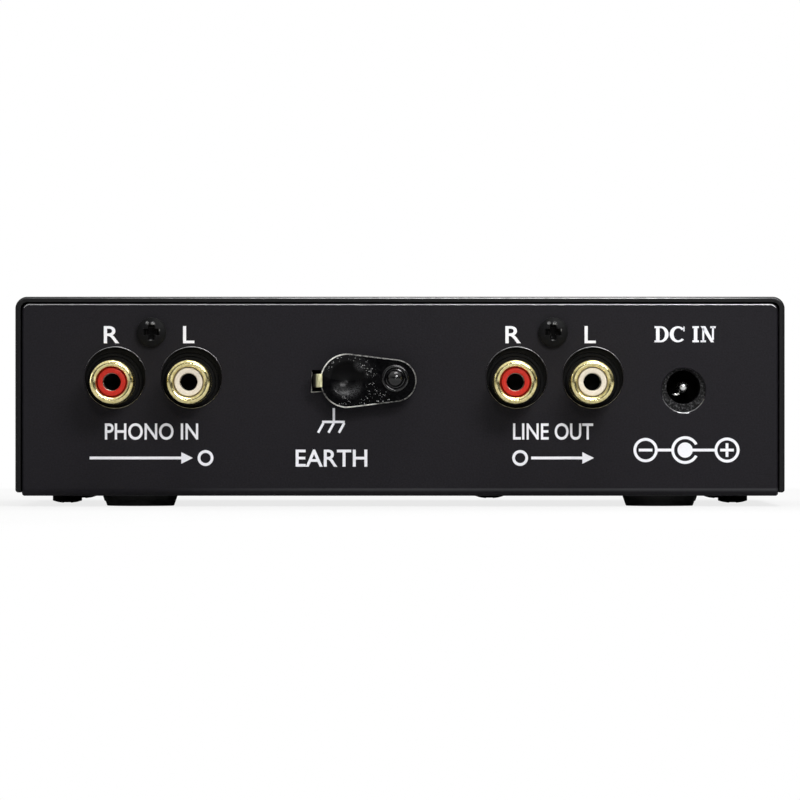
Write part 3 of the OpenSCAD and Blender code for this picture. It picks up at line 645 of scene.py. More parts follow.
def paint_screw_glints_and_shade():
    """Painted glints round the recesses of both jack screws, and painted shade inside the recesses."""
    # Places of the painted glints: x, z and reach in millimetres from each jack screw's middle.
    marks = ((0.8, 1.75, 0.42), (-0.3, 1.6, 0.55), (-1.42, 0.4, 0.34), (0.1, -1.25, 0.42))

    def by_screws(depth):
        return [place for pair in pairs.values()
                for place in places_at(rear + depth, marks, (pair.x, pair.z + jack_screw_rise))]

    tree = black_zinc.node_tree
    # Painted glints: grey patches near the recess ends, and brighter ones on their rounded rims.
    glint_grain = use(tree, grain, scale=7.0, low=0.42, high=0.62)
    painted_glints = times(tree, glint_grain.outputs["Shade"], near(tree, by_screws(1.25 * mm)))
    overlay(black_zinc, painted_glints, (0.34, 0.34, 0.34), metal=0.3)
    overlay(zinc_edge, near(zinc_edge.node_tree, by_screws(1.3 * mm)), (0.7, 0.7, 0.7), metal=0.3, rough=0.4)
    # Painted shade: black_zinc turns near black and rough from just inside the recesses towards -Y.
    overlay_along(black_zinc, "Y", rear + 1.1 * mm, rear + 0.8 * mm, (0.0005, 0.0005, 0.0005), rough=0.9)


def wear_and_paint_light_on_lever():
    """A rubbed dish with painted shade on its upper half and a rubbed, partly painted-light crescent on its
    lower rim, fine chips in the paint near the lever's edges, and an edge worn bare in places.
    """
    tree = lever_paint.node_tree
    overlay(lever_paint, near(tree, [(dish_place, dish_radius)]), (0.0012, 0.0012, 0.0014), rough=0.26)
    # Painted shade: the dish's upper half gets the darkest colour and a rough finish.
    shaded_upper_dish = times(tree, near(tree, [(dish_place, 2 * dish_radius)]),
                  slope_mask(tree, "Z", dish_place.z - 0.6 * mm, dish_place.z + 1.2 * mm))
    overlay(lever_paint, shaded_upper_dish, (0.0008, 0.0008, 0.001), rough=0.75)
    chips = use(tree, specks, scale=3.4, size=0.5, amount=0.7)
    chipped = places_at(lever_front, (
        (13.6, 27.2, 1.7), (12.4, 28.4, 1.6), (10.6, 28.6, 1.5), (8.6, 28.4, 1.3), (7.0, 27.2, 1.3),
        (5.6, 25.8, 1.6), (5.2, 22.4, 1.6), (3.4, 20.3, 2.3), (10.6, 19.5, 1.9), (6.4, 19.8, 1.5)))
    overlay(lever_paint, times(tree, chips.outputs["Mask"], near(tree, chipped, 0.0, 0.8)),
            (0.42, 0.42, 0.42), rough=0.5)
    # Rubbed paint and painted light: a lighter, speckled crescent, mostly on the dish's lower rim where the
    # light falls.
    rim = math_node(tree, "POWER", near(tree, [(dish_place, 3.0 * mm)], 1.0, 0.0), 3.0)
    rim = times(tree, rim, near(tree, [(dish_place, 4.4 * mm)]))
    rub_and_light_spots = near(tree, [(dish_place + Vector((0, 0, -3.2 * mm)), 3.9 * mm),
                          (dish_place + Vector((-2.3 * mm, 0, 2.3 * mm)), 1.5 * mm)])
    fine = use(tree, grain, scale=9.0, low=0.46, high=0.6)
    painted_light = times(tree, times(tree, rim, rub_and_light_spots), fine.outputs["Shade"])
    overlay(lever_paint, painted_light, (0.15, 0.15, 0.155), rough=0.5)
    tree = bare_edge.node_tree
    patches = use(tree, grain, scale=2.2, low=0.4, high=0.58)
    bare = near(tree, places_at(lever_front, ((15.0, 28.0, 6.5), (10.0, 18.7, 5.0), (5.6, 19.2, 1.6))),
                0.0, 0.95)
    worn = larger(tree, times(tree, patches.outputs["Shade"], 0.2), bare)
    painted = math_node(tree, "SUBTRACT", 1.0, worn)
    overlay(bare_edge, painted, (0.004, 0.004, 0.004), metal=0.0)


paint_case_light_and_shade()
paint_shade_in_depths()
paint_screw_glints_and_shade()
wear_and_paint_light_on_lever()


# ---------- case ----------

cover_bend = 2.3 * mm
chassis_bend = 1.5 * mm
panel_corner = 1.5 * mm
thread_hole = 1.58 * mm
head_radius, head_height = 2.8 * mm, 1.5 * mm
tab_width = 12 * mm
nut_radius = 2.48 * mm
nut_height = 2.2 * mm

screw_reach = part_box("cover_screws")[1]
cover_screw_spots = [(sx * (screw_reach.x - head_radius), sy * (screw_reach.y - head_radius))
                     for sx in (-1, 1) for sy in (-1, 1)]
spacer_low, spacer_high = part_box("board_spacer")
spacer_place = (spacer_low + spacer_high) / 2

jack_hole = 5.75 * mm
jack_hole_shift = Vector((-0.33 * mm, 0, 0.8 * mm))
power_hole = 4.15 * mm
power_hole_drop = 0.6 * mm
rivet_hole = 1.58 * mm
slot_low, slot_high = -1.25 * mm, 1.75 * mm
slot_height = 4.1 * mm
bushing_hole = 3.55 * mm
light_hole = 3.35 * mm


def outer_rim(edge):
    """Whether an edge is the outer one of the cover's rim at the front or the back."""
    for spot in (v.co for v in edge.verts):
        over_x = abs(spot.x) - (cover_high.x - cover_bend)
        over_z = spot.z - (cover_high.z - cover_bend)
        reach = math.hypot(max(over_x, 0), max(over_z, 0))
        if abs(spot.y) < cover_high.y - hair or reach < cover_bend - 0.1 * mm:
            return False
    return True


def make_cover():
    """A sheet folded down over both sides, with four tabs that carry pressed nuts."""
    piece = block("folded_cover", cover_low, cover_high)
    piece.data.materials.append(cover_coat)
    piece.data.materials.append(cover_edge_highlight)
    drop_faces(piece, lambda f: abs(f.normal.y) > 0.9 or f.normal.z < -0.9)
    round_edges(piece, cover_bend, 10, lambda e: along(e, 1) and middle_of(e).z > cover_high.z - mm)
    modify(piece, "SOLIDIFY", thickness=cover_steel, offset=-1)
    # The cover's outer rim gets the painted highlight finish.
    round_edges(piece, 0.5 * mm, 10, outer_rim, material_index=1, clamp=False)
    face_outwards(piece)
    soften(piece, 0.15 * mm, 2, 40)
    for x, y in cover_screw_spots:
        side = math.copysign(1, x)
        wall = side * (cover_high.x - cover_steel / 2)
        reach = x - side * tab_width / 2
        tab = block("tab", (min(wall, reach), y - tab_width / 2, floor_top),
                    (max(wall, reach), y + tab_width / 2, floor_top + cover_steel))
        combine(tab, rod("nut", (x, y, floor_top), nut_radius, nut_height, (0, 0, 1), 48), "UNION")
        cut(tab, rod("hole", (x, y, floor_top - mm), thread_hole, nut_height + 2 * mm, (0, 0, 1), 48))
        combine(piece, soften(tab, 0.08 * mm, 2, 40), "UNION")
    face_outwards(piece)
    dull_edges(piece, 0.6)
    return smooth(piece)


def dull_edges(piece, high=0.8):
    """Leaves the bright finish, a painted highlight, only on the edges that slant upwards, without the top
    corners.
    """
    for face in piece.data.polygons:
        corner = abs(face.normal.x) > 0.4 and face.center.z > chassis_high.z - 2 * mm
        if face.material_index == 1 and (corner or not 0.25 < face.normal.z < high):
            face.material_index = 0


def rim_of(middle, radius, face):
    """A test for the edges of a round hole in a face across Y."""
    def test(edge):
        return all(abs(v.co.y - face) < 0.1 * hair and
                   abs(math.hypot(v.co.x - middle.x, v.co.z - middle.z) - radius) < hair for v in edge.verts)
    return test


def bead(spot, radius):
    """The low ridge that the punch and the paint leave round a hole."""
    half, proud = 0.11 * mm, 0.08 * mm
    profile = arc(radius + half, rear, half, 0, 345, 23, proud)
    piece = turned("bead", profile, (spot.x, 0, spot.z), steps=96, closed=True)
    # The bead gets the painted highlight finish; dull_edges later keeps it only where the bead slants
    # upwards.
    piece.data.materials.append(powder_coat)
    piece.data.materials.append(coat_edge_highlight)
    piece.data.polygons.foreach_set("material_index", [1] * len(piece.data.polygons))
    return piece


def make_chassis():
    """A sheet folded up at both ends. Its rear panel has the jacks' holes, its front panel the control's."""
    piece = block("folded_chassis", chassis_low, chassis_high)
    piece.data.materials.append(powder_coat)
    piece.data.materials.append(coat_edge_highlight)
    drop_faces(piece, lambda f: abs(f.normal.x) > 0.9 or f.normal.z > 0.9)
    round_edges(piece, chassis_bend, 8, lambda e: along(e, 0) and middle_of(e).z < chassis_low.z + 0.1 * mm)
    round_edges(piece, panel_corner, 6, lambda v: v.co.z > chassis_high.z - 0.1 * mm, kind="VERT")
    modify(piece, "SOLIDIFY", thickness=steel, offset=-1)
    # The bevels get the painted highlight finish.
    soften(piece, 0.5 * mm, 5, 60, 1)
    rear_holes = [(spot + jack_hole_shift, jack_hole) for spot in jacks]
    rear_holes += [(pair + Vector((0, 0, jack_screw_rise)), thread_hole) for pair in pairs.values()]
    rear_holes += [(power_place - Vector((0, 0, power_hole_drop)), power_hole), (rivet_place, rivet_hole)]
    front_holes = [(knob_place, bushing_hole), (light_place, light_hole)]
    for face, holes in ((rear, rear_holes), (front, front_holes)):
        for spot, radius in holes:
            cut(piece, rod("hole", (spot.x, face - 2 * steel, spot.z), radius, 4 * steel, sides=96))
            # Only the power hole's rounded rim gets the painted highlight finish; the other holes keep the
            # coat.
            width, finish_index = (0.26 * mm, 1) if radius == power_hole else (0.16 * mm, -1)
            round_edges(piece, width, 3, rim_of(spot, radius, face), material_index=finish_index)
    for spot in jacks:
        combine(piece, bead(spot + jack_hole_shift, jack_hole - 0.02 * mm), "UNION")
    slot_side = hook_place.x + slot_high
    slot_bottom, slot_top = hook_place.z - slot_height / 2, hook_place.z + slot_height / 2
    cut(piece, block("slot", (hook_place.x + slot_low, inside - mm, slot_bottom),
                     (slot_side, rear + mm, slot_top)))
    for x, y in cover_screw_spots + [(spacer_place.x, spacer_place.y)]:
        cut(piece, rod("hole", (x, y, chassis_low.z - mm), thread_hole, steel + 2 * mm, (0, 0, 1), 48))
    dull_edges(piece)

    def slot_rim(edge):
        """Whether an edge is in the slot's rim, at its outer end or along its bottom."""
        middle = middle_of(edge)
        if along(edge, 0) and abs(middle.y - rear) < hair and abs(middle.z - slot_bottom) < hair:
            return True
        return all(abs(v.co.y - rear) < hair and hook_place.x < v.co.x < slot_side + hair and
                   slot_bottom - hair < v.co.z < hook_place.z + slot_height for v in edge.verts)

    # The slot's rim gets the painted highlight finish.
    round_edges(piece, 0.2 * mm, 3, slot_rim, material_index=1)
    return smooth(piece)


# ---------- screws and feet ----------

def screw(name, place, axis, length):
    """A pan head screw with a tapered cross recess. Its thread runs along axis from place, under the head."""
    thread_radius = 1.5 * mm
    crown_radius = 2.9 * head_radius
    edge = math.degrees(math.asin(head_radius / crown_radius))
    crown = arc(0, crown_radius - head_height, crown_radius, edge - 90, -90, 12)
    profile = [(0, length), (thread_radius - 0.3 * mm, length), (thread_radius, length - 0.3 * mm),
               (thread_radius, 0), (head_radius - 0.08 * mm, 0), (head_radius, -0.08 * mm)] + crown
    piece = turned(name, profile, (0, 0, 0), (0, 0, 1), 48)
    recess = (3.7 * mm, 1.6 * mm)
    for long_side, short_side in (recess, recess[::-1]):
        tool = block("recess", (-long_side / 2, -short_side / 2, -head_height - 0.4 * mm),
                     (long_side / 2, short_side / 2, -head_height + 1.3 * mm))
        choose(tool, "FACE", lambda f: f.normal.z > 0.9)
        bpy.ops.transform.resize(value=(0.5, 0.5, 1), center_override=(0, 0, 0))
        leave()
        cut(piece, tool)
    piece.data.materials.append(black_zinc)
    piece.data.materials.append(zinc_edge)
    soften(piece, 0.11 * mm, 2, 42, 1)
    piece.data.transform(Vector((0, 0, 1)).rotation_difference(Vector(axis)).to_matrix().to_4x4())
    piece.data.transform(Matrix.Translation(Vector(place)))
    return smooth(piece, 40)


def make_feet():
    """Rubber feet: slanting sides and a hollow under the middle. The front two stand further out."""
    low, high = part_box("feet")
    tip, root, tall = 6.5 * mm, 7.1 * mm, high.z - low.z
    hollow, tip_round = 0.8 * mm, 0.3 * mm
    rear_set_back = 4.5 * mm
    profile = ([(0, hollow), (tip * 0.4, hollow), (tip * 0.45, 0)]
               + arc(tip - tip_round, tip_round, tip_round, -90, 0, 5)
               + [(root, tall), (0, tall)])
    model = turned("foot", profile, (0, 0, low.z), (0, 0, 1), 72)
    front_x, rear_x, row_y = high.x - root, spots["feet_plane"].x - rear_set_back, high.y - root
    places = [(side * x, y, 0) for x, y in ((front_x, -row_y), (rear_x, row_y)) for side in (-1, 1)]
    return smooth(copies("rubber_feet", model, places))


# ---------- phono jacks ----------

def jack_shell():
    """A thin tube with a wider root and a broad lip rolled inwards."""
    lip_middle, lip_half = 3.5 * mm, 0.65 * mm
    lip_back = 0.62 * mm
    collar_end = inside - 0.6 * mm
    profile = ([(shell_bore, jack_back), (collar_radius, jack_back), (collar_radius, collar_end),
                (shell_radius, collar_end)]
               + arc(lip_middle, shell_end - lip_back, lip_half, 0, 222, 28, lip_back)
               + [(shell_bore - 0.08 * mm, shell_end - 1.3 * mm), (shell_bore, shell_end - 1.6 * mm)])
    return turned("shell", profile, (0, 0, 0), steps=96, closed=True)


def seat_ring(spot):
    """The housing's thin front, which closes round a shell."""
    back, inner, outer = inside - 0.52 * mm, shell_radius + 0.03 * mm, collar_radius + 0.4 * mm
    return turned("seat", [(inner, back), (outer, back), (outer, inside), (inner, inside)],
                  (spot.x, 0, spot.z), steps=96, closed=True)


def jack_core():
    """The plastic core: a wide root in the shell and a narrow neck that shows in its mouth."""
    root, neck, hole = 3.35 * mm, 2.72 * mm, 1.7 * mm
    chamber, tail = 1.89 * mm, 0.68 * mm
    step, face = inside + 4 * mm, shell_end - 0.6 * mm
    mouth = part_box("centre_contacts")[1].y + 0.05 * mm
    chamber_end = mouth - 8.1 * mm
    round_out, round_in = 0.3 * mm, 0.2 * mm
    profile = ([(tail, jack_back), (root, jack_back), (root, step), (neck, step)]
               + arc(neck - round_out, face - round_out, round_out, 0, 90, 6)
               + arc(hole + round_in, face - round_in, round_in, 90, 180, 6)
               + [(hole, mouth), (chamber, mouth), (chamber, chamber_end), (tail, chamber_end)])
    return turned("core", profile, (0, 0, 0), steps=80, closed=True)


def jack_contact():
    """A slit tube that grips a plug's pin, with a tail bent down to the board."""
    bore, wall, root = 1.59 * mm, 0.25 * mm, 1.0 * mm
    tail = 0.6 * mm
    low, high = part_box("centre_contacts")
    back = high.y - 8 * mm
    outer = bore + wall
    profile = ([(0, back), (outer - 0.1 * mm, back), (outer, back + 0.1 * mm)]
               + arc(bore + wall / 2, high.y - wall / 2, wall / 2, 0, 180, 6)
               + [(bore, back + root), (0, back + root)])
    piece = turned("contact", profile, (0, 0, 0), steps=64)
    cut(piece, block("slit", (-3 * mm, back + 3 * mm, -0.25 * mm), (3 * mm, high.y + mm, 0.25 * mm)))
    bar = block("tail", (-tail, low.y, low.z - jack_z), (tail, low.y + 0.6 * mm, tail))
    lead = rod("lead", (0, low.y + 0.3 * mm, 0), tail, back - low.y, sides=32)
    combine(piece, lead, "UNION")
    combine(piece, bar, "UNION")
    return soften(piece, 0.05 * mm, 2, 45)


def at_jacks(name, model, places):
    """A copy of a turned model at each of some jacks."""
    return smooth(copies(name, model, [(spot.x, 0, spot.z) for spot in places]), 40)


# ---------- power jack ----------

def make_power_pin():
    """A round-ended pin with a leg down to the board."""
    low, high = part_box("power_jack_pin")
    radius, tail, tip = 1.05 * mm, 0.8 * mm, 0.95 * mm
    root = inside - 9.8 * mm
    profile = ([(0, low.y), (tail - 0.1 * mm, low.y), (tail, low.y + 0.1 * mm), (tail, root), (radius, root)]
               + arc(0, high.y - tip, radius, 0, 90, 14, tip))
    piece = turned("power_pin", profile, (power_place.x, 0, power_place.z), steps=48)
    leg = block("leg", (power_place.x - tail, low.y, low.z),
                (power_place.x + tail, low.y + 0.5 * mm, power_place.z))
    combine(piece, leg, "UNION")
    return smooth(piece, 40)


def make_power_leaf():
    """The strip that touches a plug's sleeve, with its end turned up at the bottom of the socket."""
    piece = refined("power_leaf", "power_jack_leaf", 0.05 * mm)
    x, z, back = power_place.x, power_place.z, inside - 9.7 * mm
    tab = block("tab", (x + 0.5 * mm, back, z - 1.4 * mm), (x + 2.1 * mm, back + 0.4 * mm, z - 0.8 * mm))
    soften(tab, 0.18 * mm, 3, 40)
    turn = Matrix.Rotation(0.2, 4, "Y")
    tab.data.transform(Matrix.Translation((x, 0, z)) @ turn @ Matrix.Translation((-x, 0, -z)))
    return smooth(join("power_leaf", [piece, tab]), 40)


# ---------- ground clip ----------

def lever_outline():
    """Two unequal round ends joined by their tangents, as points (x, z)."""
    reach = dish_place.x - rivet_place.x
    lean = math.degrees(math.acos((lever_wide - lever_narrow) / reach))
    wide = arc(dish_place.x, lever_z, lever_wide, lean - 180, 180 - lean, 48)
    narrow = arc(rivet_place.x, lever_z, lever_narrow, 180 - lean, 180 + lean, 40)
    return wide + narrow


def ball(name, middle, radius):
    """A sphere with its poles along Y."""
    deselect()
    bpy.ops.mesh.primitive_uv_sphere_add(segments=96, ring_count=48, radius=radius, location=middle,
                                         rotation=(math.pi / 2, 0, 0))
    return settle(name_it(bpy.context.object, name))


def make_lever():
    """A stamped plate with a finger dish, a hole for the rivet and a heel that it rocks on."""
    outline = lever_outline()
    piece = plate("press_lever", outline, lever_back, lever_front)
    dish_ball = (dish_radius ** 2 + dish_depth ** 2) / (2 * dish_depth)
    middle = dish_place + Vector((0, dish_ball - dish_depth, 0))
    bulge = ball("bulge", middle, dish_ball + 0.8 * mm)
    around = 6 * mm
    keep = block("keep", middle - Vector((around, 20 * mm, around)),
                 (middle.x + around, lever_back + 0.1 * mm, middle.z + around))
    combine(piece, combine(bulge, keep, "INTERSECT"), "UNION")
    heel = plate("heel", outline, lever_low.y + 0.02 * mm, lever_back + 0.1 * mm)
    edge, heel_wide, heel_half = lever_low.x, 0.85 * mm, 2 * mm
    combine(heel, block("keep", (edge - mm, rear - mm, lever_z - heel_half),
                        (edge + heel_wide, lever_front, lever_z + heel_half)), "INTERSECT")
    combine(piece, heel, "UNION")
    cut(piece, ball("dish", middle, dish_ball))
    round_edges(piece, 0.35 * mm, 4, rim_of(dish_place, dish_radius, lever_front))
    cut(piece, rod("hole", (rivet_place.x, lever_back - mm, rivet_place.z), 2.1 * mm, 3 * mm))
    return piece


def wear_edge(piece, width, material_index):
    """Rounds the front outline and gives it bare metal."""
    def test(edge):
        if len(edge.link_faces) != 2 or any(abs(v.co.y - lever_front) > 0.1 * hair for v in edge.verts):
            return False
        slopes = sorted(abs(face.normal.y) for face in edge.link_faces)
        spot = middle_of(edge)
        near_dish = math.hypot(spot.x - dish_place.x, spot.z - dish_place.z) < dish_radius + 0.2 * mm
        near_hole = math.hypot(spot.x - rivet_place.x, spot.z - rivet_place.z) < 2.3 * mm
        return slopes[0] < 0.1 and slopes[1] > 0.9 and not near_dish and not near_hole

    choose(piece, "EDGE", test)
    bpy.ops.mesh.bevel(offset=width, segments=3, profile=0.5, affect="EDGES", material=material_index)
    leave()


def make_rivet():
    """A round-headed rivet with a low dome, a shoulder on the panel and a formed end inside."""
    x, z = rivet_place.x, rivet_place.z
    end, head = rivet_low.y, lever_front + 0.1 * mm
    head_r, head_t, shank, shoulder = 2.6 * mm, 0.5 * mm, 1.5 * mm, 2.2 * mm
    formed_r, formed_t = 2.3 * mm, 0.7 * mm
    dome = 1.7 * mm
    dome_middle = head + head_t - 0.7 * mm
    foot = math.degrees(math.asin(0.4 * mm / dome))
    profile = ([(0, end)] + arc(formed_r - 0.3 * mm, end + 0.3 * mm, 0.3 * mm, -90, 0, 4)
               + [(formed_r, end + formed_t), (shank, end + formed_t), (shank, rear), (shoulder, rear),
                  (shoulder, rear + 2.1 * mm), (shoulder - 0.1 * mm, rear + 2.2 * mm),
                  (shank, rear + 2.2 * mm), (shank, head)]
               + arc(head_r - 0.12 * mm, head + 0.12 * mm, 0.12 * mm, -90, 0, 4)
               + arc(head_r - 0.36 * mm, head + head_t - 0.36 * mm, 0.36 * mm, 0, 150, 12)
               + [(dome + 0.1 * mm, dome_middle + 0.36 * mm)]
               + arc(0, dome_middle, dome, foot, 90, 14))
    return smooth(turned("clip_rivet", profile, (x, 0, z), steps=72), 50)


def make_spring():
    """A ring of wire drawn round the dish's axis into a short coil."""
    wire, coil, coil_turns = 0.3 * mm, 4.15 * mm, 2.5
    low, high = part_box("ground_spring")
    deselect()
    bpy.ops.mesh.primitive_circle_add(vertices=12, radius=wire,
                                      location=(dish_place.x, low.y + wire, dish_place.z))
    piece = name_it(bpy.context.object, "clip_spring")
    edit(piece, "SELECT")
    bpy.ops.transform.translate(value=(coil, 0, 0))
    leave()
    modify(piece, "SCREW", axis="Y", angle=coil_turns * full_turn, screw_offset=high.y - low.y - 2 * wire,
           steps=84, render_steps=84)
    edit(piece, "SELECT")
    bpy.ops.mesh.fill_holes(sides=12)
    bpy.ops.mesh.normals_make_consistent(inside=False)
    leave()
    return smooth(settle(piece), 60)


# ---------- front ----------

def make_knob():
    """A fluted knob with a hollow back and a groove for its pointer line."""
    x, z = knob_place.x, knob_place.z
    back, face = -knob_high.y, -knob_low.y
    radius, wall, hollow = 8.5 * mm, 1.4 * mm, 3.1 * mm
    shaft, crown = 3.02 * mm, 7.4 * mm
    edge = 0.7 * mm
    profile = ([(radius - wall, back), (radius - 0.2 * mm, back), (radius, back + 0.2 * mm)]
               + arc(radius - edge, face - edge, edge, 0, 90, 7)
               + [(radius - 1.6 * mm, face), (radius - 1.9 * mm, face - 0.2 * mm), (0, face - 0.2 * mm),
                  (0, back + crown), (shaft, back + crown), (shaft, back + hollow),
                  (radius - wall, back + hollow)])
    piece = turned("dial_knob", profile, (x, 0, z), (0, -1, 0), 144, closed=True)
    flutes, flute_radius = 24, 0.55 * mm
    reach = radius + 0.2 * mm
    rods = []
    for i in range(flutes):
        angle = full_turn * (i + 0.5) / flutes
        rods.append(rod("flute", (x + reach * math.cos(angle), -back - 1.2 * mm, z + reach * math.sin(angle)),
                        flute_radius, 12 * mm, (0, -1, 0), 20))
    cut(piece, join("flutes", rods))
    cut(piece, block("groove", (x - 0.5 * mm, -face - mm, z + 2.6 * mm),
                     (x + 0.5 * mm, -face + 0.55 * mm, z + 10 * mm)))
    soften(piece, 0.08 * mm, 2, 40)
    return smooth(piece, 40)


def make_pointer():
    """The white line in the knob's groove."""
    x, z, face, half = knob_place.x, knob_place.z, knob_low.y, 0.49 * mm
    line = block("dial_pointer", (x - half, face + 0.3 * mm, z + 2.65 * mm),
                 (x + half, face + 0.6 * mm, z + 8.1 * mm))
    return smooth(soften(line, 0.05 * mm, 2, 40))


def ring(name, middle, profile):
    """A turned ring at the front: distances from the axis and from the front panel, in millimetres."""
    points = [(r * mm, -front + h * mm) for r, h in profile]
    return smooth(turned(name, points, (middle.x, 0, middle.z), (0, -1, 0), 72, closed=True), 40)


def make_nut():
    """A six-sided nut on the washer."""
    across, thick, washer = 10 * mm, 2 * mm, 0.5 * mm
    place = (knob_place.x, front - washer, knob_place.z)
    piece = rod("control_nut", place, across / 2 / math.cos(math.pi / 6), thick, (0, -1, 0), 6)
    soften(piece, 0.25 * mm, 2, 40)
    cut(piece, rod("hole", (place[0], front + mm, place[2]), bushing_hole, 6 * mm, (0, -1, 0)))
    return smooth(piece, 30)


def make_light():
    """A round-topped lamp with a flange at its root."""
    radius, flange = 2.5 * mm, 2.85 * mm
    root, tip = jack_back, -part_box("power_light")[0].y
    profile = ([(0, root), (flange, root), (flange, root + mm), (radius, root + mm)]
               + arc(0, tip - radius, radius, 0, 90, 14))
    lamp = turned("power_lamp", profile, (light_place.x, 0, light_place.z), (0, -1, 0), 64)
    return smooth(lamp, 40)


def make_lamp_legs():
    """Two wires that run back from the lamp and turn down to the board."""
    low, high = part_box("power_light")
    wire = 0.25 * mm
    parts = []
    for side in (-1, 1):
        x = light_place.x + side * 1.27 * mm
        parts.append(rod("leg", (x, -jack_back, light_place.z), wire, high.y + inside - 4.25 * mm,
                         (0, 1, 0), 16))
        parts.append(rod("leg", (x, high.y - wire, low.z), wire, light_place.z - low.z, (0, 0, 1), 16))
    return smooth(join("lamp_legs", parts), 40)


# ---------- print ----------

print_back, print_face = rear, rear + 0.02 * mm
cap_height = 3.25 * mm
stroke_width = 0.53 * mm


def legend(words, middle_x, base_z, width, height=cap_height, heavy=0.03, backwards=True):
    """Printed words that stand on base_z, as wide as told or as they fall; backwards on the rear panel."""
    deselect()
    bpy.ops.object.text_add()
    words_object = bpy.context.object
    words_object.data.body = words
    words_object.data.size = 4 * mm
    words_object.data.offset = heavy * mm
    words_object.data.extrude = 0.01 * mm
    words_object.data.resolution_u = 5
    bpy.ops.object.convert(target="MESH")
    piece = bpy.context.object
    corners = [v.co for v in piece.data.vertices]
    low = Vector(min(c[i] for c in corners) for i in range(3))
    high = Vector(max(c[i] for c in corners) for i in range(3))
    tall = height / (high.y - low.y)
    wide = width / (high.x - low.x) if width else tall
    grow = Matrix.Diagonal((wide, tall, 1, 1))
    piece.data.transform(grow @ Matrix.Translation((-(low.x + high.x) / 2, -low.y, 0)))
    turn = Matrix.Rotation(math.pi / 2, 4, "X")
    depth = front - 0.01 * mm
    if backwards:
        turn = Matrix.Rotation(math.pi, 4, "Z") @ turn
        depth = rear + 0.01 * mm
    piece.data.transform(Matrix.Translation((middle_x, depth, base_z)) @ turn)
    return piece


def printed(outline):
    return plate("mark", outline, print_back, print_face)


def stroke(start, end, width=stroke_width):
    """A printed line between two points (x, z)."""
    start, end = Vector(start), Vector(end)
    side = (end - start).normalized().orthogonal() * width / 2
    return printed([tuple(start + side), tuple(end + side), tuple(end - side), tuple(start - side)])


def band(middle, radius, first, last):
    """A printed arc with its outer radius, angles in degrees."""
    steps = max(6, int(abs(last - first) / 6))
    outer = arc(middle[0], middle[1], radius, first, last, steps)
    inner = arc(middle[0], middle[1], radius - stroke_width, last, first, steps)
    return printed(outer + inner)


def circle_mark(middle, radius):
    inner = radius - stroke_width
    profile = [(inner, print_back), (radius, print_back), (radius, print_face), (inner, print_face)]
    return turned("mark", profile, (middle[0], 0, middle[1]), closed=True)


def dot_mark(middle, radius):
    return printed(arc(middle[0], middle[1], radius, 0, 354, 59))


def arrow_mark(tip, length):
    """A printed line along X with an arrow head at its low end."""
    head, half = 2.2 * mm, 1.1 * mm
    x, z = tip
    return [printed([(x, z), (x + head, z + half), (x + head, z - half)]),
            stroke((x + length, z), (x + head, z))]


def earth_mark(x, top):
    """A stem, a bar and three slanting lines."""
    bar_z = 16.05 * mm
    half = 1.97 * mm
    foot_z = 14.0 * mm
    slant = 1.0 * mm
    width = 0.46 * mm
    parts = [stroke((x, top), (x, bar_z + width / 2), width),
             stroke((x - half - 0.1 * mm, bar_z), (x + half + 0.25 * mm, bar_z), width)]
    for offset in (-1, 0, 1):
        spot = x + offset * half
        parts.append(stroke((spot, bar_z - width / 2), (spot + slant, foot_z), width))
    return parts


def serif_marks(middle_x, base_z, width, height):
    """DC IN in heavy letters with feet."""
    thick, thin = 0.22 * height, 0.12 * height
    bowl = height / 2
    unit = width / 4.2
    parts = []

    def shape(points):
        parts.append(printed([(middle_x + width / 2 - x, base_z + z) for x, z in points]))

    def bar(left, right, low, high):
        shape([(left, low), (right, low), (right, high), (left, high)])

    def stem(left, wide, reach):
        """An upright with a foot and a head that reach past it on both sides."""
        bar(left + reach, left + reach + wide, thin * 0.9, height - thin * 0.9)
        for low in (0, height - thin):
            bar(left, left + wide + 2 * reach, low, low + thin)

    def bowls(middle, outer_r, inner_shift, first, last, wall):
        """A round stroke, thick at its side and thin at its top and bottom, angles in degrees."""
        steps = 24
        angles = [math.radians(first + (last - first) * i / steps) for i in range(steps + 1)]
        outer = [(middle + outer_r * math.cos(a), bowl + bowl * math.sin(a)) for a in angles]
        inner = [(middle + inner_shift + (outer_r - wall) * math.cos(a), bowl + (bowl - thin) * math.sin(a))
                 for a in reversed(angles)]
        shape(outer + inner)

    d_left, c_left, i_left, n_left = 0.0, 1.04 * unit, 2.6 * unit, 3.16 * unit
    foot, long_foot = 0.1 * unit, 0.12 * unit
    # D
    stem(d_left, thick, foot)
    bowls(d_left + 0.42 * unit, 0.54 * unit, 0, -90, 90, thick)
    # C
    bowls(c_left + 0.56 * unit, 0.56 * unit, 0.03 * unit, 42, 318, thick)
    bar(c_left + 0.94 * unit, c_left + 1.02 * unit, height - 1.05 * bowl * 0.62, height - 0.02 * height)
    # I and N
    stem(i_left, thick, foot)
    first_stem, last_stem = n_left + long_foot, width - long_foot - thin
    bar(first_stem, first_stem + thin, 0.5 * thin, height - thin)
    bar(n_left, first_stem + thin + long_foot, 0, thin)
    bar(last_stem, last_stem + thin, 1.2 * thin, height - 0.5 * thin)
    bar(last_stem - long_foot, width, height - thin, height)
    shape([(n_left, height), (n_left + thick * 1.35, height), (last_stem + thin, 0),
           (last_stem - 0.55 * thin, 0)])
    return parts


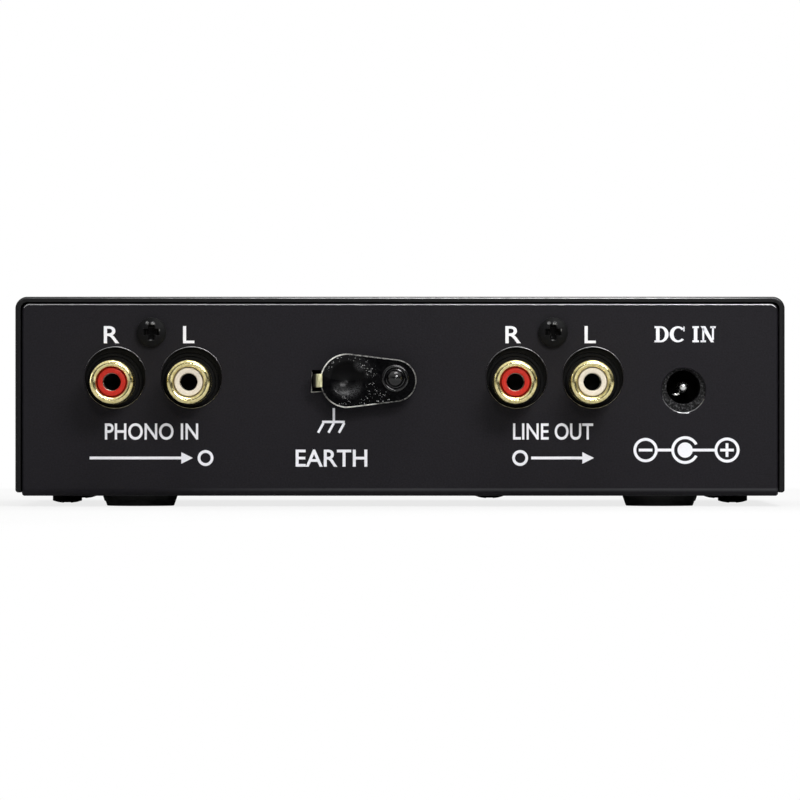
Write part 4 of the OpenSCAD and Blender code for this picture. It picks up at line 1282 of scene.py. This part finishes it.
def rear_print():
    """Plain labels: R and L, what each group of jacks is for, and signs for the flow, earth and polarity."""
    parts = []
    letter_z = 30.97 * mm
    line_z = 12.65 * mm
    sign_z, ring_radius = 9.2 * mm, 1.5 * mm
    for name, word, width, span, space in (("input", "PHONO IN", 17.7 * mm, 23.5 * mm, 0.9 * mm),
                                           ("output", "LINE OUT", 15.2 * mm, 15.5 * mm, 0.6 * mm)):
        middle = pairs[name].x
        low_end, high_end = middle - span / 2, middle + span / 2
        parts.append(legend("R", spots[name + "_right_shell"].x + 0.33 * mm, letter_z, 2.95 * mm, heavy=0.04))
        parts.append(legend("L", spots[name + "_left_shell"].x + 0.2 * mm, letter_z, 2.15 * mm, heavy=0.04))
        parts.append(legend(word, middle, line_z, width, 3.15 * mm, heavy=0.05))
        if name == "input":
            tip, ring_x = low_end + 2 * ring_radius + space, low_end + ring_radius
        else:
            tip, ring_x = low_end, high_end - ring_radius
        parts += arrow_mark((tip, sign_z), span - 2 * ring_radius - space)
        parts.append(circle_mark((ring_x, sign_z), ring_radius))
    parts += earth_mark(12.56 * mm, lever_low.z - 0.05 * mm)
    parts.append(legend("EARTH", 13.0 * mm, 7.55 * mm, 13.6 * mm, 3.25 * mm, heavy=0.05))
    parts += serif_marks(-54.1 * mm, 31.15 * mm, 11.6 * mm, 3.05 * mm)
    sign = 10.7 * mm
    minus, centre, plus = -46.6 * mm, -54.1 * mm, -62.05 * mm
    minus_r, centre_r, plus_r, dot_r = 2.3 * mm, 2.62 * mm, 2.37 * mm, 1.44 * mm
    gap, arm, arm_start, lap = 27, 1.3 * mm, 0.28 * mm, 0.02 * mm
    parts += [circle_mark((minus, sign), minus_r), circle_mark((plus, sign), plus_r),
              band((centre, sign), centre_r, -180 + gap, 180 - gap), dot_mark((centre, sign), dot_r),
              stroke((minus - minus_r + lap, sign), (centre + centre_r - lap, sign)),
              stroke((centre - dot_r + 0.03 * mm, sign), (plus + plus_r - lap, sign)),
              stroke((minus - arm, sign), (minus + arm, sign)),
              stroke((plus - arm, sign), (plus + arm, sign)),
              stroke((plus, sign + arm_start), (plus, sign + arm)),
              stroke((plus, sign - arm), (plus, sign - arm_start))]
    return join("rear_print", parts)


def front_print():
    """Ticks and plain numbers round the knob."""
    parts = []
    first, last, count = 240, -60, 10
    tick_start, tick_end, number = 10.4 * mm, 11.8 * mm, 14.0 * mm
    height = 1.7 * mm
    for i in range(2 * count + 1):
        whole = i % 2 == 0
        angle = math.radians(first + (last - first) * i / (2 * count))
        reach = tick_end if whole else tick_end - 0.6 * mm
        tick = block("tick", (-0.14 * mm, front - 0.02 * mm, tick_start), (0.14 * mm, front, reach))
        tick.data.transform(Matrix.Translation((knob_place.x, 0, knob_place.z))
                            @ Matrix.Rotation(math.pi / 2 - angle, 4, "Y"))
        parts.append(tick)
        if whole:
            parts.append(legend(str(i // 2), knob_place.x + number * math.cos(angle),
                                knob_place.z + number * math.sin(angle) - height / 2, None, height,
                                backwards=False))
    return join("front_print", parts)


# ---------- putting it together ----------

place_piece(make_cover(), "case", "case_paint", None, "top_cover")
place_piece(make_chassis(), "case", "case_paint", None, "chassis")
place_piece(make_feet(), "case", "rubber", foot_rubber, "feet")

place_piece(copies("case_screws", screw("model", (0, 0, 0), (0, 0, 1), 5 * mm),
                   [(x, y, chassis_low.z) for x, y in cover_screw_spots]),
            "case", "black_screw", None, "cover_screws")
place_piece(copies("jack_fixing_screws", screw("model", (0, 0, 0), (0, -1, 0), 6 * mm),
                   [(pair.x, rear, pair.z + jack_screw_rise) for pair in pairs.values()]),
            "case", "black_screw", None, "jack_screws")
board_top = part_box("circuit_board")[1].z
under = screw("under", (spacer_place.x, spacer_place.y, chassis_low.z), (0, 0, 1), 5 * mm)
over = screw("over", (spacer_place.x, spacer_place.y, board_top), (0, 0, -1), 5 * mm)
place_piece(smooth(join("spacer_screws", [under, over])), "case", "black_screw", None, "board_screws")

for name in pairs:
    both = [spots[name + "_left_shell"], spots[name + "_right_shell"]]
    place_piece(at_jacks(name + "_shells", jack_shell(), both), "case", "gold", gold_plate,
                name + "_jack_shells")
    housing = refined(name + "_housing", name + "_jack_housing", 0.07 * mm)
    for spot in both:
        combine(housing, seat_ring(spot), "UNION")
    smooth(housing, 40)
    place_piece(housing, "case", "black_plastic", jack_plastic, name + "_jack_housing")
place_piece(at_jacks("right_cores", jack_core(), right_jacks), "case", "red_plastic", red_plastic,
            "right_insulators")
place_piece(at_jacks("left_cores", jack_core(), left_jacks), "case", "cream_plastic", cream_plastic,
            "left_insulators")
place_piece(at_jacks("plug_contacts", jack_contact(), jacks), "case", "nickel", contact_nickel,
            "centre_contacts")

place_piece(smooth(refined("power_housing", "power_jack_housing", 0.12 * mm), 40), "case", "black_plastic",
            socket_plastic, "power_jack_housing")
place_piece(make_power_pin(), "case", "nickel", bright_nickel, "power_jack_pin")
place_piece(make_power_leaf(), "case", "nickel", bright_nickel, "power_jack_leaf")

lever = make_lever()
lever.data.materials.append(lever_paint)
lever.data.materials.append(bare_edge)
wear_edge(lever, 0.24 * mm, 1)
soften(lever, 0.06 * mm, 2, 40)
place_piece(smooth(lever), "clip_lever", "clip_paint", None, "ground_lever")
place_piece(make_rivet(), "case", "clip_paint", rivet_paint, "ground_rivet")
spring = place_piece(make_spring(), "case", "spring_steel", spring_steel, "ground_spring")
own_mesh(spring)
place_piece(smooth(refined("clip_strip", "ground_strip", 0.07 * mm), 40), "case", "brass_strip", clip_brass,
            "ground_strip")

place_piece(make_knob(), "level_dial", "knob_black", knob_plastic, "level_knob")
place_piece(make_pointer(), "level_dial", "print_white", print_ink)
place_piece(make_nut(), "case", "nickel", bright_nickel, "level_nut")
washer = ring("control_washer", knob_place, [(3.55, 0), (5.8, 0), (5.9, 0.1), (5.9, 0.4), (5.8, 0.5),
                                             (3.55, 0.5)])
place_piece(washer, "case", "nickel", bright_nickel, "level_washer")
bezel = ring("lamp_bezel", light_place, [(2.6, -3.6), (3.3, -3.6), (3.3, 0), (4.0, 0), (4.0, 0.35),
                                         (3.85, 0.65), (3.5, 0.85), (3.0, 0.9), (2.6, 0.6)])
place_piece(bezel, "case", "black_plastic", bezel_plastic, "light_bezel")
place_piece(make_light(), "case", "lens_blue", lens_blue, "power_light")
place_piece(make_lamp_legs(), "case", "nickel", bright_nickel)

place_piece(rear_print(), "case", "print_white", print_ink)
place_piece(front_print(), "case", "print_white", print_ink)

# The CAD nodes that keep their shape get their finishes.
for node, material in {"circuit_board": board_green, "board_spacer": spacer_brass, "ground_wire": wire_green,
                       "amplifier_chips": chip_epoxy, "supply_capacitors": can_sleeve,
                       "signal_capacitors": can_sleeve, "film_capacitors": film_epoxy,
                       "resistors": resistor_lacquer, "voltage_regulator": chip_epoxy,
                       "rectifier_diode": chip_epoxy, "level_control": control_can,
                       "level_shaft": control_can}.items():
    data = frame["nodes"][node].data
    data.materials.clear()
    data.materials.append(material)


# ---------- floor, light and camera ----------

def make_floor():
    """A pale matt floor that fades to white round the object, and shows white behind it in the metal."""
    deselect()
    bpy.ops.mesh.primitive_plane_add(size=8, location=(0, 0, 0))
    floor = name_it(bpy.context.object, "floor")
    material = bpy.data.materials.new("pale_floor")
    material.use_nodes = True
    tree = material.node_tree
    shader = tree.nodes["Principled BSDF"]
    shader.inputs["Base Color"].default_value = (0.6, 0.6, 0.6, 1)
    shader.inputs["Roughness"].default_value = 0.9
    shader.inputs["Specular IOR Level"].default_value = 0.0
    white = tree.nodes.new("ShaderNodeEmission")
    pale_end, white_start = 0.09, 0.32
    far = fade(tree, away_from(tree, (0, 0, 0)), pale_end, white_start)
    rays = tree.nodes.new("ShaderNodeLightPath").outputs
    shown = larger(tree, rays["Is Camera Ray"], rays["Is Transmission Ray"])
    to_camera = times(tree, shown, larger(tree, far, 0.8))
    to_metal = times(tree, rays["Is Glossy Ray"], times(tree, far, slope_mask(tree, "Y", 0.0, -0.15)))
    blend = tree.nodes.new("ShaderNodeMixShader")
    tree.links.new(larger(tree, to_camera, to_metal), blend.inputs[0])
    tree.links.new(shader.outputs[0], blend.inputs[1])
    tree.links.new(white.outputs[0], blend.inputs[2])
    tree.links.new(blend.outputs[0], tree.nodes["Material Output"].inputs["Surface"])
    floor.data.materials.append(material)


def make_world():
    """White behind the object; a plain studio, brighter above, lights it and shows in its metal."""
    world = bpy.data.worlds.new("studio")
    bpy.context.scene.world = world
    world.use_nodes = True
    tree = world.node_tree
    tree.nodes.clear()
    rays = tree.nodes.new("ShaderNodeLightPath").outputs
    towards = split(tree, tree.nodes.new("ShaderNodeTexCoord").outputs["Generated"])
    height = spread(tree, fade(tree, towards["Z"], 0.1, 0.8), 0.06, 1.0)
    seen = larger(tree, rays["Is Camera Ray"], rays["Is Transmission Ray"])
    behind = times(tree, rays["Is Glossy Ray"], fade(tree, towards["Y"], -0.1, -0.5))
    ambient = spread(tree, rays["Is Glossy Ray"], 0.35, 1.0)
    studio = larger(tree, behind, times(tree, ambient, height))
    back = tree.nodes.new("ShaderNodeBackground")
    back.inputs["Color"].default_value = (1, 1, 1, 1)
    tree.links.new(larger(tree, seen, studio), back.inputs["Strength"])
    tree.links.new(back.outputs[0], tree.nodes.new("ShaderNodeOutputWorld").inputs[0])


def softbox(name, direction, distance, size, power):
    """A soft area lamp that faces the object's middle."""
    deselect()
    direction = Vector(direction).normalized()
    place = Vector((0, 0, 20 * mm)) + direction * distance
    facing = direction.to_track_quat("Z", "Y").to_euler()
    bpy.ops.object.light_add(type="AREA", location=place, rotation=facing)
    lamp = bpy.context.object
    lamp.name = name
    lamp.data.shape = "RECTANGLE"
    lamp.data.size, lamp.data.size_y = size
    lamp.data.energy = power


def make_camera():
    """A level camera that looks straight at the rear panel."""
    distance, height = 1.5, 0.0202
    view_width, sensor = 0.1518, 36
    deselect()
    bpy.ops.object.camera_add(location=(0, rear + distance, height), rotation=(math.pi / 2, 0, math.pi))
    camera = bpy.context.object
    camera.data.sensor_width = sensor
    camera.data.lens = sensor * distance / view_width
    camera.data.clip_start, camera.data.clip_end = 0.05, 20
    bpy.context.scene.camera = camera


make_floor()
make_world()
for name, direction, distance, size, power in (
        ("key_light", (-0.04, 0.95, 0.265), 1.3, (0.1, 0.08), 1.6),
        ("top_light", (-0.12, 0.3, 1.0), 0.9, (0.5, 0.3), 4.0),
        ("back_light", (-0.12, -0.8, 0.7), 0.9, (0.6, 0.25), 4),
        ("right_light", (-0.3, 0.83, 0.47), 0.45, (0.16, 0.09), 1.0),
        ("left_light", (1.0, -0.1, 0.15), 1.0, (0.25, 0.5), 2.0),
        ("side_light", (0.85, 0.5, 0.12), 0.8, (0.45, 0.35), 0.17),
        ("front_light", (0.4, -1.0, 0.6), 1.2, (0.5, 0.4), 3)):
    softbox(name, direction, distance, size, power)
make_camera()

bpy.context.scene.view_settings.view_transform = "Standard"
